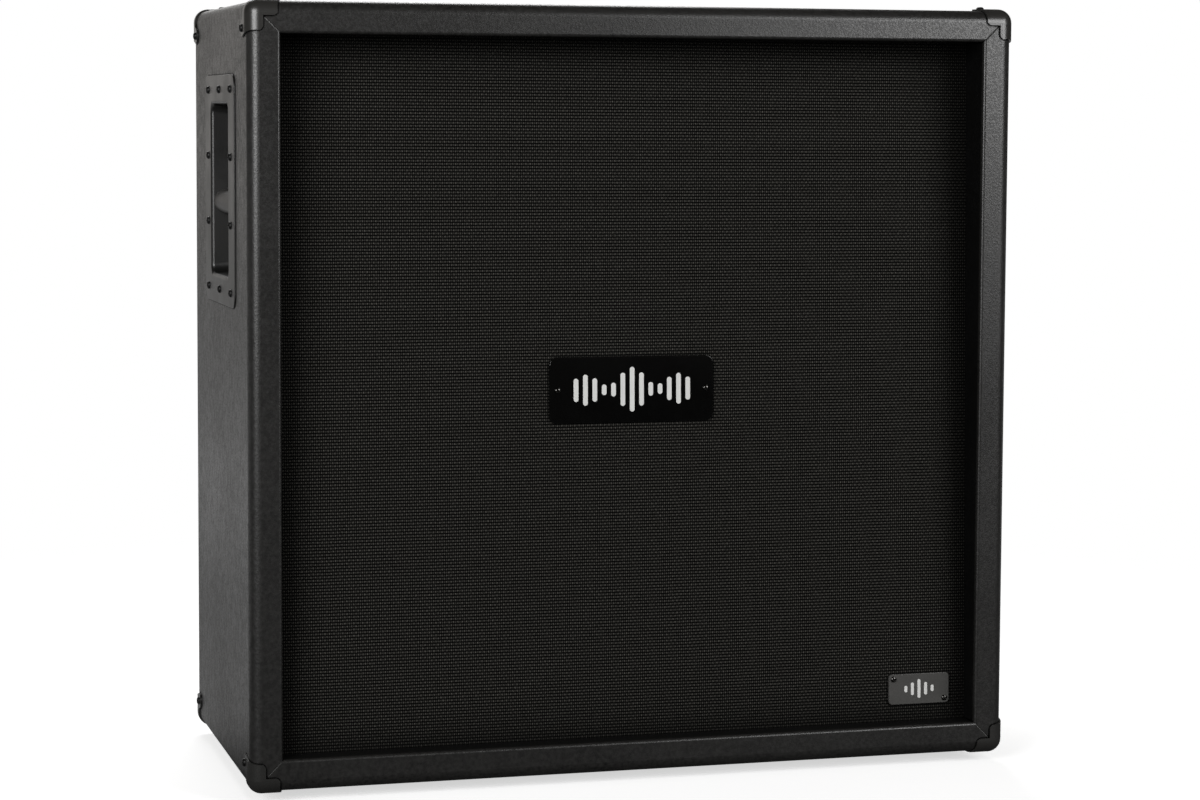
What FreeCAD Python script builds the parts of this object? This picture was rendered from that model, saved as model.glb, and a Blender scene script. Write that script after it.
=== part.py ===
import FreeCAD, Part
import math
import os

# Guitar speaker cabinet with four loudspeakers, in millimetres.
# +Z is up, the grille faces -Y, and the origin is on the floor under the middle of the case.

V = FreeCAD.Vector
UP = V(0, 0, 1)
BACK = V(0, 1, 0)
RIGHT = V(1, 0, 0)
DOWN = V(0, 0, -1)
FRONT = V(0, -1, 0)
FULL_TURN = 360.0

# Boards and covering
VINYL = 1.0
PANEL = 18.0
BACK_BOARD = 15.0
BATTEN = 20.0
EDGE_RADIUS = 12.0
FINGERS = 11

# Space round the loudspeakers, which sets the size of the case
SPEAKER_GAP = 27.0
SIDE_SPACE = 23.5
END_SPACE = 13.5
REAR_SPACE = 151.5

# Front border and cloth
RAIL_WIDTH = 11.0
RECESS_LOW = 28.0
RECESS_HIGH = 47.0
INNER_EDGE_RADIUS = 3.0
CLOTH = 1.0
BOARD_FIT = 0.5
SEAM_WIDTH = 1.6
SEAM_DEPTH = 0.24

# Rear
REAR_RECESS = 6.0
BRACE = 36.0

# Corner protectors
CAP_WALL = 1.8
CAP_FIT = 0.15
LIP_LENGTH = 28.0
LIP_WIDTH = 14.3
LIP_ROUND = 4.5
WAIST = 18.0
WAIST_ROUND = 6.0
EAR_RADIUS = 8.0
EAR_BACK = 24.0
EAR_DOWN = 26.0

# Side handles
HANDLE_DROP = 181.0
HANDLE_SET_BACK = -5.0
PLATE_SIDE = 39.0
PLATE_END = 28.0
PLATE_WALL = 1.5
PLATE_ROUND = 14.0
PLATE_EDGE = 0.7
OPENING_DEPTH = 112.0
OPENING_HEIGHT = 170.0
OPENING_ROUND = 9.0
OPENING_EDGE = 3.4
DISH_DEPTH = 60.0
DISH_DRAFT = 6.0
DISH_WALL = 2.5
DISH_FIT = 2.0
GRIP_DIAMETER = 24.0
GRIP_INSET = 3.0
GRIP_DROP = 13.0
PLATE_SCREW_EDGE_Y = 23.0
PLATE_SCREW_EDGE_Z = 14.3
PLATE_SCREW_MIDDLE = 33.0

# Badge plates
BADGE_WIDTH = 168.0
BADGE_HEIGHT = 65.0
BADGE_WALL = 2.5
BADGE_ROUND = 8.0
BADGE_SCREW_EDGE = 8.0
BADGE_EDGE = 0.6
SMALL_BADGE_WIDTH = 65.2
SMALL_BADGE_HEIGHT = 31.0
SMALL_BADGE_ROUND = 4.0
SMALL_BADGE_RIGHT = 17.5
SMALL_BADGE_BOTTOM = 16.7
SMALL_BADGE_SCREW_EDGE = 5.0

# Screws: head radius, head height, shank radius and length
SCREW_HEAD = 4.0
SCREW_DOME = 2.4
SCREW_SHANK = 1.9
SCREW_LENGTH = 14.0
BADGE_SCREW_HEAD = 3.0
BADGE_SCREW_DOME = 1.8
BADGE_SCREW_SHANK = 1.3
BADGE_SCREW_LENGTH = 12.0
CROSS_WIDTH = 0.9
CROSS_LENGTH = 4.4
CROSS_DEPTH = 1.2
SCREW_FIT = 0.1
HOLE_SPARE = 1.0
BOARD_SCREW_SPACING = 150.0
BOARD_SCREW_BITE = 10.0
CROWN_FLAT = 0.4
SHOULDER_OUT = 0.82
SHOULDER_UP = 0.72

# Feet
FOOT_HEIGHT = 12.0
FOOT_RADIUS = 19.0
FOOT_TAPER = 2.0
FOOT_BORE = 6.0
FOOT_FLOOR = 5.0
FOOT_INSET = 92.0

# Jack plate
JACK_PLATE_WALL = 1.6
JACK_PLATE_ROUND = 6.0
JACK_PLATE_LAND = 16.0
JACK_WINDOW_FIT = 5.0
JACK_SCREW_EDGE = 8.0
JACK_BORE = 3.25
JACK_BORE_LENGTH = 30.0
JACK_BUSH_WALL = 1.5
JACK_BUSH_OUT = 3.8
JACK_BODY_WIDTH = 18.0
JACK_END_WALL = 7.4
JACK_NUT_ACROSS = 14.0
JACK_NUT_WALL = 2.4

# Loudspeaker, radii and lengths along its axis
SPEAKER_FRAME = 309.0
FRAME_WALL = 2.0
BOLT_EDGE = 6.0
BOLTS_PER_SPEAKER = 8
BOLT_SHANK = 2.0
BOLT_HEAD = 4.0
BOLT_HEAD_HEIGHT = 3.0
BOLT_BITE = 13.0
GASKET_WALL = 3.0
GASKET_EDGE = 1.0
CUTOUT_EDGE = 13.0
GASKET_INSET = 0.5
SURROUND_OUTER_LAND = 9.0
SURROUND_OVERHANG = 3.0
SURROUND_FIT = 1.5
SURROUND_PLEATS = 3
SURROUND_PLEAT_DEPTH = 3.0
SURROUND_ROLL = 12.0
SURROUND_WALL = 0.8
RIM_LAND = 5.0
GLUE_GAP = 0.1
CONE_DEPTH = 62.0
CONE_WALL = 0.8
COIL_INNER = 22.25
FORMER_WALL = 0.35
WINDING_WALL = 0.45
WINDING_LENGTH = 12.0
FORMER_TAIL = 3.0
NECK_FIT = 0.2
SPIDER_BEHIND = 6.0
SPIDER_WALL = 0.7
SPIDER_LAND = 4.0
SPIDER_PLEATS = 5
SPIDER_PLEAT_DEPTH = 2.5
SHELF_RADIUS = 66.0
SHELF_WIDTH = 14.0
MOTOR_BEHIND = 18.0
POLE_CLEAR = 0.65
GAP_CLEAR = 0.45
PLATE_THICKNESS = 8.0
FRONT_PLATE_RADIUS = 66.0
MAGNET_RADIUS = 78.0
MAGNET_CLEAR = 6.5
MAGNET_LENGTH = 20.0
YOKE_RADIUS = 70.0
MOTOR_CLEAR = 12.5
DUST_CAP_LAND = 9.2
DUST_CAP_RISE = 10.0
DUST_CAP_WALL = 0.7
WINDOWS = 6
WINDOW_ANGLE = 38.0
WINDOW_EDGE = 12.0
TERMINAL_WIDTH = 22.0
TERMINAL_DEPTH = 10.0
TERMINAL_WALL = 5.0
TERMINAL_FIT = 0.2

# Leads from the jacks to the loudspeakers
LEAD = 5.0
LEAD_FIT = 0.2
CLIP_WALL = 3.0
CLIP_LENGTH = 12.0
LEAD_SPACING = 8.0
LEAD_OFF_BRACE = 4.5
LEAD_BEND = 25.0

# Sizes that follow from the ones above
WALL = VINYL + PANEL
CABINET_WIDTH = 2 * (WALL + BATTEN + SIDE_SPACE + SPEAKER_FRAME) + SPEAKER_GAP
CABINET_HEIGHT = 2 * (WALL + BATTEN + END_SPACE + SPEAKER_FRAME) + SPEAKER_GAP
SPIDER_DEPTH = CONE_DEPTH + SPIDER_BEHIND
MOTOR_DEPTH = SPIDER_DEPTH + MOTOR_BEHIND
SPEAKER_DEPTH = MOTOR_DEPTH + FRAME_WALL + 2 * PLATE_THICKNESS + MAGNET_LENGTH
RECESS = (RECESS_LOW + RECESS_HIGH) / 2
FRONT_STACK = RECESS + CLOTH + PANEL + GASKET_WALL
CABINET_DEPTH = FRONT_STACK + SPEAKER_DEPTH + REAR_SPACE + BACK_BOARD + REAR_RECESS
HALF_W = CABINET_WIDTH / 2
HALF_D = CABINET_DEPTH / 2
Z_LOW = FOOT_HEIGHT
Z_HIGH = FOOT_HEIGHT + CABINET_HEIGHT
Z_MID = (Z_LOW + Z_HIGH) / 2
HALF_H = CABINET_HEIGHT / 2
INNER_X = HALF_W - WALL
INNER_Z = HALF_H - WALL
BORDER = WALL + RAIL_WIDTH + VINYL
LEAN = math.degrees(math.atan2(RECESS_HIGH - RECESS_LOW, 2 * (HALF_H - BORDER)))
CLOTH_Y = RECESS - HALF_D
BAFFLE_FRONT = CLOTH_Y + CLOTH
BAFFLE_REAR = BAFFLE_FRONT + PANEL
FLANGE_Y = BAFFLE_REAR + GASKET_WALL
BACK_OUTER = HALF_D - REAR_RECESS
BACK_INNER = BACK_OUTER - BACK_BOARD
SPEAKER_STEP = (SPEAKER_FRAME + SPEAKER_GAP) / 2
FRAME_R = SPEAKER_FRAME / 2
CUTOUT_R = FRAME_R - CUTOUT_EDGE
JACK_Z = Z_MID - SPEAKER_STEP
HANDLE_Z = Z_HIGH - HANDLE_DROP
PLATE_X = HALF_W + PLATE_WALL
PLATE_DEPTH = OPENING_DEPTH + 2 * PLATE_SIDE
PLATE_HEIGHT = OPENING_HEIGHT + 2 * PLATE_END
BOARD_SCREW_LENGTH = BATTEN + BOARD_SCREW_BITE
JACK_X = BRACE / 2 + LEAD_OFF_BRACE + LEAD / 2
JACK_BUSH = JACK_BORE + JACK_BUSH_WALL
JACK_BODY_LENGTH = JACK_BORE_LENGTH + JACK_END_WALL - JACK_PLATE_WALL - JACK_BUSH_OUT
JACK_WINDOW_X = JACK_X + JACK_BODY_WIDTH / 2 + JACK_WINDOW_FIT
JACK_WINDOW_Z = JACK_BODY_WIDTH / 2 + JACK_WINDOW_FIT
JACK_PLATE_X = JACK_WINDOW_X + JACK_PLATE_LAND
JACK_PLATE_Z = JACK_WINDOW_Z + JACK_PLATE_LAND

SPEAKERS = {
    "upper_left": (-1, 1),
    "upper_right": (1, 1),
    "lower_left": (-1, -1),
    "lower_right": (1, -1),
}


# Helpers

def save(name, shapes):
    """Write one node as a STEP file, as a group when it has several solids."""
    shape = shapes if not isinstance(shapes, list) else Part.makeCompound(shapes)
    shape.exportStep("parts/" + name + ".step")
    bad = [s for s in shape.Solids if not s.isValid()]
    print(name, len(shape.Solids), "solids,", len(bad), "invalid,", round(shape.Volume / 1000, 2), "cm3")


def box(x0, x1, y0, y1, z0, z1):
    return Part.makeBox(x1 - x0, y1 - y0, z1 - z0, V(x0, y0, z0))


def tube(radius, bore, length, base, axis):
    outer = Part.makeCylinder(radius, length, base, axis)
    return outer.cut(Part.makeCylinder(bore, length, base, axis))


def frame_of_bars(x, z, bar, y0, y1):
    """Top, bottom, left and right bars that line a rectangular opening of half sizes x and z."""
    top = box(-x, x, y0, y1, Z_MID + z - bar, Z_MID + z)
    bottom = box(-x, x, y0, y1, Z_MID - z, Z_MID - z + bar)
    left = box(-x, -x + bar, y0, y1, Z_MID - z + bar, Z_MID + z - bar)
    right = box(x - bar, x, y0, y1, Z_MID - z + bar, Z_MID + z - bar)
    return [top, bottom, left, right]


def rounded_case(inset):
    """The outer form of the case, moved inwards by inset, with all edges rounded."""
    x = HALF_W - inset
    y = HALF_D - inset
    z = HALF_H - inset
    block = box(-x, x, -y, y, Z_MID - z, Z_MID + z)
    return block.makeFillet(EDGE_RADIUS - inset, block.Edges)


def rounded_outline(half_a, half_b, radius, place):
    """A closed wire round a rectangle with round corners; place turns two lengths into a point."""
    a = half_a - radius
    b = half_b - radius
    diagonal = radius * math.sqrt(0.5)
    edges = []
    for sa, sb in ((1, 1), (-1, 1), (-1, -1), (1, -1)):
        first = place(sa * half_a, sb * b)
        last = place(sa * a, sb * half_b)
        if sa * sb < 0:
            first, last = last, first
        middle = place(sa * (a + diagonal), sb * (b + diagonal))
        edges.append((first, middle, last))
    parts = []
    for i, (first, middle, last) in enumerate(edges):
        parts.append(Part.Arc(first, middle, last).toShape())
        parts.append(Part.makeLine(last, edges[(i + 1) % len(edges)][0]))
    return Part.Wire(parts)


def turned(points):
    """A ring turned about the Z axis from an outline of radius and height pairs."""
    corners = [V(r, 0, s) for r, s in points]
    face = Part.Face(Part.makePolygon(corners + corners[:1]))
    return face.revolve(V(0, 0, 0), UP, FULL_TURN)


def leaned(shape):
    """The baffle and all that it carries are made upright and then lean back with the cloth."""
    copy = shape.copy()
    copy.rotate(V(0, CLOTH_Y, Z_MID), RIGHT, -LEAN)
    return copy


def save_leaned(name, shapes):
    save(name, [leaned(each) for each in shapes] if isinstance(shapes, list) else leaned(shapes))


def behind(y):
    """All of the case behind an upright plane at depth y, leaned with the baffle."""
    return leaned(box(-HALF_W, HALF_W, y, y + CABINET_DEPTH, Z_LOW - HALF_H, Z_HIGH + HALF_H))


def mirrored(shape, flip_x, flip_y=False, flip_z=False):
    middle = V(0, 0, Z_MID)
    for flip, axis in ((flip_x, V(1, 0, 0)), (flip_y, BACK), (flip_z, UP)):
        if flip:
            shape = shape.mirror(middle, axis)
    return shape


# Screws are made once along +Z, with the seat of the head at zero, and copied into place

def screw(head, dome, shank, length):
    """Pan head with a flat crown and a cross slot, on a plain shank."""
    crown = head * CROWN_FLAT
    shoulder = V(head * SHOULDER_OUT, 0, dome * SHOULDER_UP)
    profile = [
        Part.makeLine(V(0, 0, -length), V(shank, 0, -length)),
        Part.makeLine(V(shank, 0, -length), V(shank, 0, 0)),
        Part.makeLine(V(shank, 0, 0), V(head, 0, 0)),
        Part.Arc(V(head, 0, 0), shoulder, V(crown, 0, dome)).toShape(),
        Part.makeLine(V(crown, 0, dome), V(0, 0, dome)),
        Part.makeLine(V(0, 0, dome), V(0, 0, -length)),
    ]
    body = Part.Face(Part.Wire(profile)).revolve(V(0, 0, 0), UP, FULL_TURN)
    half = min(CROSS_LENGTH, head) / 2
    slot = CROSS_WIDTH / 2
    depth = min(CROSS_DEPTH, dome / 2)
    first = box(-half, half, -slot, slot, dome - depth, dome + depth)
    second = box(-slot, slot, -half, half, dome - depth, dome + depth)
    return body.cut(first.fuse(second))


def at_seats(shape, seats):
    """Copies of a shape made along +Z, moved to each seat point and turned to its direction."""
    copies = []
    for point, direction in seats:
        copy = shape.copy()
        copy.Placement = FreeCAD.Placement(point, FreeCAD.Rotation(UP, direction))
        copies.append(copy)
    return copies


def holes(seats, shank, length):
    drill = Part.makeCylinder(shank + SCREW_FIT, length + 2 * HOLE_SPARE, V(0, 0, -length - HOLE_SPARE))
    return at_seats(drill, seats)


def corner_cap_seats():
    """Screw seats on the side ear and the top or bottom ear of all eight corner protectors."""
    out = CAP_FIT + CAP_WALL
    seats = []
    for sx in (-1, 1):
        for sy in (-1, 1):
            for sz in (-1, 1):
                y = sy * (HALF_D - EAR_BACK)
                side = V(sx * (HALF_W + out), y, Z_MID + sz * (HALF_H - EAR_DOWN))
                end = V(sx * (HALF_W - EAR_DOWN), y, Z_MID + sz * (HALF_H + out))
                seats.append((side, V(sx, 0, 0)))
                seats.append((end, V(0, 0, sz)))
    return seats


def handle_seats():
    """Ten screw seats on each handle plate: three above, three below, two each side."""
    far_y = PLATE_DEPTH / 2 - PLATE_SCREW_EDGE_Y
    far_z = PLATE_HEIGHT / 2 - PLATE_SCREW_EDGE_Z
    spots = [(y, z) for y in (-far_y, 0, far_y) for z in (-far_z, far_z)]
    spots += [(y, z) for y in (-far_y, far_y) for z in (-PLATE_SCREW_MIDDLE, PLATE_SCREW_MIDDLE)]
    seats = []
    for sx in (-1, 1):
        for y, z in spots:
            seats.append((V(sx * PLATE_X, HANDLE_SET_BACK + y, HANDLE_Z + z), V(sx, 0, 0)))
    return seats


def batten_seats(y):
    """Screw seats at depth y, on the middle line of the battens round the case."""
    x = INNER_X - BATTEN / 2
    z = INNER_Z - BATTEN / 2
    across = round(2 * x / BOARD_SCREW_SPACING)
    upward = round(2 * z / BOARD_SCREW_SPACING)
    spots = []
    for i in range(across + 1):
        along = -x + 2 * x * i / across
        spots += [(along, -z), (along, z)]
    for i in range(1, upward):
        along = -z + 2 * z * i / upward
        spots += [(-x, along), (x, along)]
    return [(V(a, y, Z_MID + b), BACK) for a, b in spots]


def jack_plate_seats():
    x = JACK_PLATE_X - JACK_SCREW_EDGE
    z = JACK_PLATE_Z - JACK_SCREW_EDGE
    y = BACK_OUTER + JACK_PLATE_WALL
    return [(V(a, y, JACK_Z + b), BACK) for a in (-x, x) for b in (-z, z)]


def foot_places():
    x = HALF_W - FOOT_INSET
    y = HALF_D - FOOT_INSET
    return [(a, b) for a in (-x, x) for b in (-y, y)]


def small_badge_middle():
    x = HALF_W - BORDER - SMALL_BADGE_RIGHT - SMALL_BADGE_WIDTH / 2
    z = Z_LOW + BORDER + SMALL_BADGE_BOTTOM + SMALL_BADGE_HEIGHT / 2
    return x, z


def badge_seats():
    y = CLOTH_Y - BADGE_WALL
    far = BADGE_WIDTH / 2 - BADGE_SCREW_EDGE
    seats = [(V(x, y, Z_MID), FRONT) for x in (-far, far)]
    x, z = small_badge_middle()
    far_x = SMALL_BADGE_WIDTH / 2 - SMALL_BADGE_SCREW_EDGE
    far_z = SMALL_BADGE_HEIGHT / 2 - SMALL_BADGE_SCREW_EDGE
    seats.append((V(x - far_x, y, z + far_z), FRONT))
    seats.append((V(x + far_x, y, z - far_z), FRONT))
    return seats


# Case: four finger-jointed panels, the front rails and the covering

def dish_cut(sx):
    """The hole in one side that the handle's dish passes through."""
    y = OPENING_DEPTH / 2 + DISH_WALL + DISH_FIT
    z = OPENING_HEIGHT / 2 + DISH_WALL + DISH_FIT
    x0, x1 = sorted((sx * (INNER_X - HOLE_SPARE), sx * (HALF_W + HOLE_SPARE)))
    return box(x0, x1, HANDLE_SET_BACK - y, HANDLE_SET_BACK + y, HANDLE_Z - z, HANDLE_Z + z)


def finger_boxes(first):
    """Every second finger zone along the depth, at all four corners of the case."""
    pitch = 2 * HALF_D / FINGERS
    zones = []
    for i in range(first, FINGERS, 2):
        y0 = -HALF_D + i * pitch
        for sx in (-1, 1):
            for sz in (-1, 1):
                x0, x1 = sorted((sx * INNER_X, sx * HALF_W))
                z0, z1 = sorted((Z_MID + sz * INNER_Z, Z_MID + sz * HALF_H))
                zones.append(box(x0, x1, y0, y0 + pitch, z0, z1))
    return zones


def case_panels(drilled):
    carcass = rounded_case(VINYL)
    slabs = {
        "top_panel": box(-HALF_W, HALF_W, -HALF_D, HALF_D, Z_MID + INNER_Z, Z_HIGH),
        "bottom_panel": box(-HALF_W, HALF_W, -HALF_D, HALF_D, Z_LOW, Z_MID - INNER_Z),
        "left_side_panel": box(-HALF_W, -INNER_X, -HALF_D, HALF_D, Z_LOW, Z_HIGH),
        "right_side_panel": box(INNER_X, HALF_W, -HALF_D, HALF_D, Z_LOW, Z_HIGH),
    }
    for name, slab in slabs.items():
        side = "side" in name
        panel = carcass.common(slab).cut(finger_boxes(0 if side else 1))
        if side:
            panel = panel.cut([dish_cut(-1), dish_cut(1)])
        save(name, panel.cut(drilled).Solids)


def front_pocket(inset):
    x = HALF_W - BORDER + inset
    z = HALF_H - BORDER + inset
    pocket = box(-x, x, -HALF_D - EDGE_RADIUS, RECESS_HIGH + RECESS - HALF_D, Z_MID - z, Z_MID + z)
    return pocket.cut(behind(CLOTH_Y))


def rear_pocket(inset):
    x = INNER_X - VINYL + inset
    z = INNER_Z - VINYL + inset
    return box(-x, x, BACK_INNER, HALF_D + EDGE_RADIUS, Z_MID - z, Z_MID + z)


def soften_front(form, inset):
    """Round the inner front edge of the border."""
    x = HALF_W - BORDER + inset
    y = -HALF_D + inset
    z = HALF_H - BORDER + inset
    near = VINYL / 10
    rim = []
    for edge in form.Edges:
        bound = edge.BoundBox
        on_front = abs(bound.YMin - y) < near and abs(bound.YMax - y) < near
        inside = abs(bound.Center.x) < x + near and abs(bound.Center.z - Z_MID) < z + near
        if on_front and inside:
            rim.append(edge)
    return form.makeFillet(INNER_EDGE_RADIUS - inset, rim)


def front_rails():
    """Four bars, mitred at the corners, that widen the front edge of the panels."""
    x = INNER_X
    z = INNER_Z
    y0 = -HALF_D + VINYL
    ring = box(-x, x, y0, RECESS_HIGH + RECESS - HALF_D, Z_MID - z, Z_MID + z)
    ring = ring.cut([front_pocket(VINYL), behind(CLOTH_Y)])
    ring = soften_front(ring, VINYL)
    reach = RAIL_WIDTH * 2
    rails = []
    corners = [V(-x, y0, Z_MID - z), V(x, y0, Z_MID - z), V(x, y0, Z_MID + z), V(-x, y0, Z_MID + z)]
    for i, first in enumerate(corners):
        second = corners[(i + 1) % 4]
        inward = V(-first.x - second.x, 0, 2 * Z_MID - first.z - second.z).normalize()
        along = (second - first).normalize()
        third = second + (inward - along) * reach
        fourth = first + (inward + along) * reach
        wedge = Part.Face(Part.makePolygon([first, second, third, fourth, first]))
        rails += ring.common(wedge.extrude(V(0, 2 * RECESS_HIGH, 0))).Solids
    return rails


def seam_grooves():
    """Shallow V grooves along the four mitres of the front border."""
    half = SEAM_WIDTH / 2
    profile = Part.makePolygon([V(-half, 0, 0), V(half, 0, 0), V(0, SEAM_DEPTH, 0), V(-half, 0, 0)])
    length = (BORDER - LIP_WIDTH / 2) * math.sqrt(2)
    groove = Part.Face(profile).extrude(V(0, 0, length))
    groove.rotate(V(0, 0, 0), BACK, 45)
    groove.translate(V(HALF_W - BORDER, -HALF_D, Z_MID + HALF_H - BORDER))
    return [mirrored(groove, fx, False, fz) for fx in (False, True) for fz in (False, True)]


def vinyl_covering(drilled):
    outer = soften_front(rounded_case(0).cut([front_pocket(0), rear_pocket(0)]), 0)
    inner = soften_front(rounded_case(VINYL).cut([front_pocket(VINYL), rear_pocket(VINYL)]), VINYL)
    skin = outer.cut(inner)
    return skin.cut([dish_cut(-1), dish_cut(1)] + seam_grooves() + drilled).Solids


def back_panel(drilled):
    x = INNER_X - VINYL - BOARD_FIT
    z = INNER_Z - VINYL - BOARD_FIT
    board = box(-x, x, BACK_INNER, BACK_OUTER, Z_MID - z, Z_MID + z)
    low = JACK_Z - JACK_WINDOW_Z
    high = JACK_Z + JACK_WINDOW_Z
    window = box(-JACK_WINDOW_X, JACK_WINDOW_X, BACK_INNER, BACK_OUTER, low, high)
    return board.cut([window] + drilled)


# Baffle with its cloth

def speaker_middle(sx, sz):
    return V(sx * SPEAKER_STEP, FLANGE_Y, Z_MID + sz * SPEAKER_STEP)


def bolt_seats(sx, sz):
    """Bolt seats on the rear face of one loudspeaker's flange."""
    middle = speaker_middle(sx, sz) + V(0, FRAME_WALL, 0)
    radius = FRAME_R - BOLT_EDGE
    seats = []
    for i in range(BOLTS_PER_SPEAKER):
        angle = 2 * math.pi * (i + 0.5) / BOLTS_PER_SPEAKER
        seats.append((middle + V(radius * math.cos(angle), 0, radius * math.sin(angle)), BACK))
    return seats


def baffle_half_sizes():
    return INNER_X - BOARD_FIT - CLOTH, INNER_Z - BOARD_FIT - CLOTH


def baffle_board(drilled):
    x, z = baffle_half_sizes()
    board = box(-x, x, BAFFLE_FRONT, BAFFLE_REAR, Z_MID - z, Z_MID + z)
    cutouts = []
    for sx, sz in SPEAKERS.values():
        start = speaker_middle(sx, sz)
        start.y = BAFFLE_FRONT
        cutouts.append(Part.makeCylinder(CUTOUT_R, PANEL, start, BACK))
    return board.cut(cutouts + drilled)


def grille_cloth(drilled):
    """A sheet over the front of the baffle, turned back along its four edges."""
    x, z = baffle_half_sizes()
    cover = box(-x - CLOTH, x + CLOTH, CLOTH_Y, BAFFLE_REAR, Z_MID - z - CLOTH, Z_MID + z + CLOTH)
    board = box(-x, x, BAFFLE_FRONT, BAFFLE_REAR, Z_MID - z, Z_MID + z)
    return cover.cut([board] + drilled)


def baffle_battens(drilled):
    """Bars round the rear of the baffle, which lean with it and are planed to fit the case."""
    spare = BATTEN / 4
    bars = frame_of_bars(INNER_X, INNER_Z + spare, BATTEN + spare, BAFFLE_REAR, BAFFLE_REAR + BATTEN)
    inside = box(-INNER_X, INNER_X, -HALF_D, HALF_D, Z_MID - INNER_Z, Z_MID + INNER_Z)
    battens = []
    for bar in bars:
        battens.append(leaned(bar.cut(drilled)).common(inside))
    return battens


def badge_plate(x, z, width, height, radius, drilled):
    outline = rounded_outline(width / 2, height / 2, radius, lambda a, b: V(x + a, CLOTH_Y, z + b))
    plate = Part.Face(outline).extrude(V(0, -BADGE_WALL, 0))
    face_y = CLOTH_Y - BADGE_WALL
    rim = [e for e in plate.Edges if e.BoundBox.YMax < face_y + BADGE_WALL / 2]
    return plate.makeFillet(BADGE_EDGE, rim).cut(drilled)


# Corner protectors

def lip_outline(place):
    """L-shaped front lip, from lengths measured inwards from the corner."""
    out = -EDGE_RADIUS
    far = LIP_LENGTH - LIP_ROUND
    near = LIP_WIDTH - LIP_ROUND
    bend = LIP_ROUND * math.sqrt(0.5)
    edges = [
        Part.makeLine(place(out, out), place(LIP_LENGTH, out)),
        Part.makeLine(place(LIP_LENGTH, out), place(LIP_LENGTH, near)),
        Part.Arc(place(LIP_LENGTH, near), place(far + bend, near + bend), place(far, LIP_WIDTH)).toShape(),
        Part.makeLine(place(far, LIP_WIDTH), place(LIP_WIDTH, LIP_WIDTH)),
        Part.makeLine(place(LIP_WIDTH, LIP_WIDTH), place(LIP_WIDTH, far)),
        Part.Arc(place(LIP_WIDTH, far), place(near + bend, far + bend), place(near, LIP_LENGTH)).toShape(),
        Part.makeLine(place(near, LIP_LENGTH), place(out, LIP_LENGTH)),
        Part.makeLine(place(out, LIP_LENGTH), place(out, out)),
    ]
    return Part.Wire(edges)


def ear_outline(place):
    """Rounded ear on the side or top, from lengths behind the front and in from the other face."""
    out = -EDGE_RADIUS
    reach = EAR_RADIUS + WAIST_ROUND
    turn_u = WAIST + WAIST_ROUND
    turn_v = EAR_DOWN - math.sqrt(reach ** 2 - (turn_u - EAR_BACK) ** 2)
    entry = math.atan2(turn_v - EAR_DOWN, turn_u - EAR_BACK)
    bearing = math.atan2(LIP_LENGTH - EAR_DOWN, -EAR_BACK)
    leave = bearing - math.acos(EAR_RADIUS / math.hypot(EAR_BACK, LIP_LENGTH - EAR_DOWN))

    def on_ear(angle):
        return place(EAR_BACK + EAR_RADIUS * math.cos(angle), EAR_DOWN + EAR_RADIUS * math.sin(angle))

    def on_turn(angle):
        return place(turn_u + WAIST_ROUND * math.cos(angle), turn_v + WAIST_ROUND * math.sin(angle))

    into_ear = entry + math.pi
    edges = [
        Part.makeLine(place(out, out), place(WAIST, out)),
        Part.makeLine(place(WAIST, out), place(WAIST, turn_v)),
        Part.Arc(place(WAIST, turn_v), on_turn((into_ear + math.pi) / 2), on_ear(entry)).toShape(),
        Part.Arc(on_ear(entry), on_ear((entry + leave) / 2), on_ear(leave)).toShape(),
        Part.makeLine(on_ear(leave), place(0, LIP_LENGTH)),
        Part.makeLine(place(0, LIP_LENGTH), place(out, LIP_LENGTH)),
        Part.makeLine(place(out, LIP_LENGTH), place(out, out)),
    ]
    return Part.Wire(edges)


def corner_protector():
    """The protector of the front top left corner: a thin shell cut to its outline."""
    out = CAP_FIT + CAP_WALL
    reach = EAR_BACK + EAR_RADIUS + LIP_LENGTH
    left = -HALF_W
    front = -HALF_D
    block = box(left - out, left + reach, front - out, front + reach, Z_HIGH - reach, Z_HIGH + out)
    shell = rounded_case(-out).common(block).cut(rounded_case(-CAP_FIT))
    depth = EDGE_RADIUS + 2 * out
    lip = lip_outline(lambda a, b: V(left + a, front - 2 * out, Z_HIGH - b))
    side = ear_outline(lambda u, v: V(left - 2 * out, front + u, Z_HIGH - v))
    end = ear_outline(lambda u, v: V(left + v, front + u, Z_HIGH + 2 * out))
    stencil = Part.Face(lip).extrude(V(0, depth, 0))
    stencil = stencil.fuse([Part.Face(side).extrude(V(depth, 0, 0)), Part.Face(end).extrude(V(0, 0, -depth))])
    return shell.common(stencil)


def corner_protectors(drilled):
    cap = corner_protector()
    caps = []
    for fx in (False, True):
        for fy in (False, True):
            for fz in (False, True):
                caps += mirrored(cap, fx, fy, fz).cut(drilled).Solids
    return caps


# Side handles, made on the left and mirrored to the right

def dish_hollow(grow):
    """The tapered space inside the dish, made larger all round by grow."""
    mouth = -PLATE_X
    floor = mouth + DISH_DEPTH + grow
    wires = []
    for x, narrow in ((mouth, 0), (floor, DISH_DRAFT)):
        half_y = OPENING_DEPTH / 2 - narrow + grow
        half_z = OPENING_HEIGHT / 2 - narrow + grow
        wires.append(rounded_outline(half_y, half_z, OPENING_ROUND + grow,
                                     lambda a, b, x=x: V(x, HANDLE_SET_BACK + a, HANDLE_Z + b)))
    return Part.makeLoft(wires, True, True)


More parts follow.
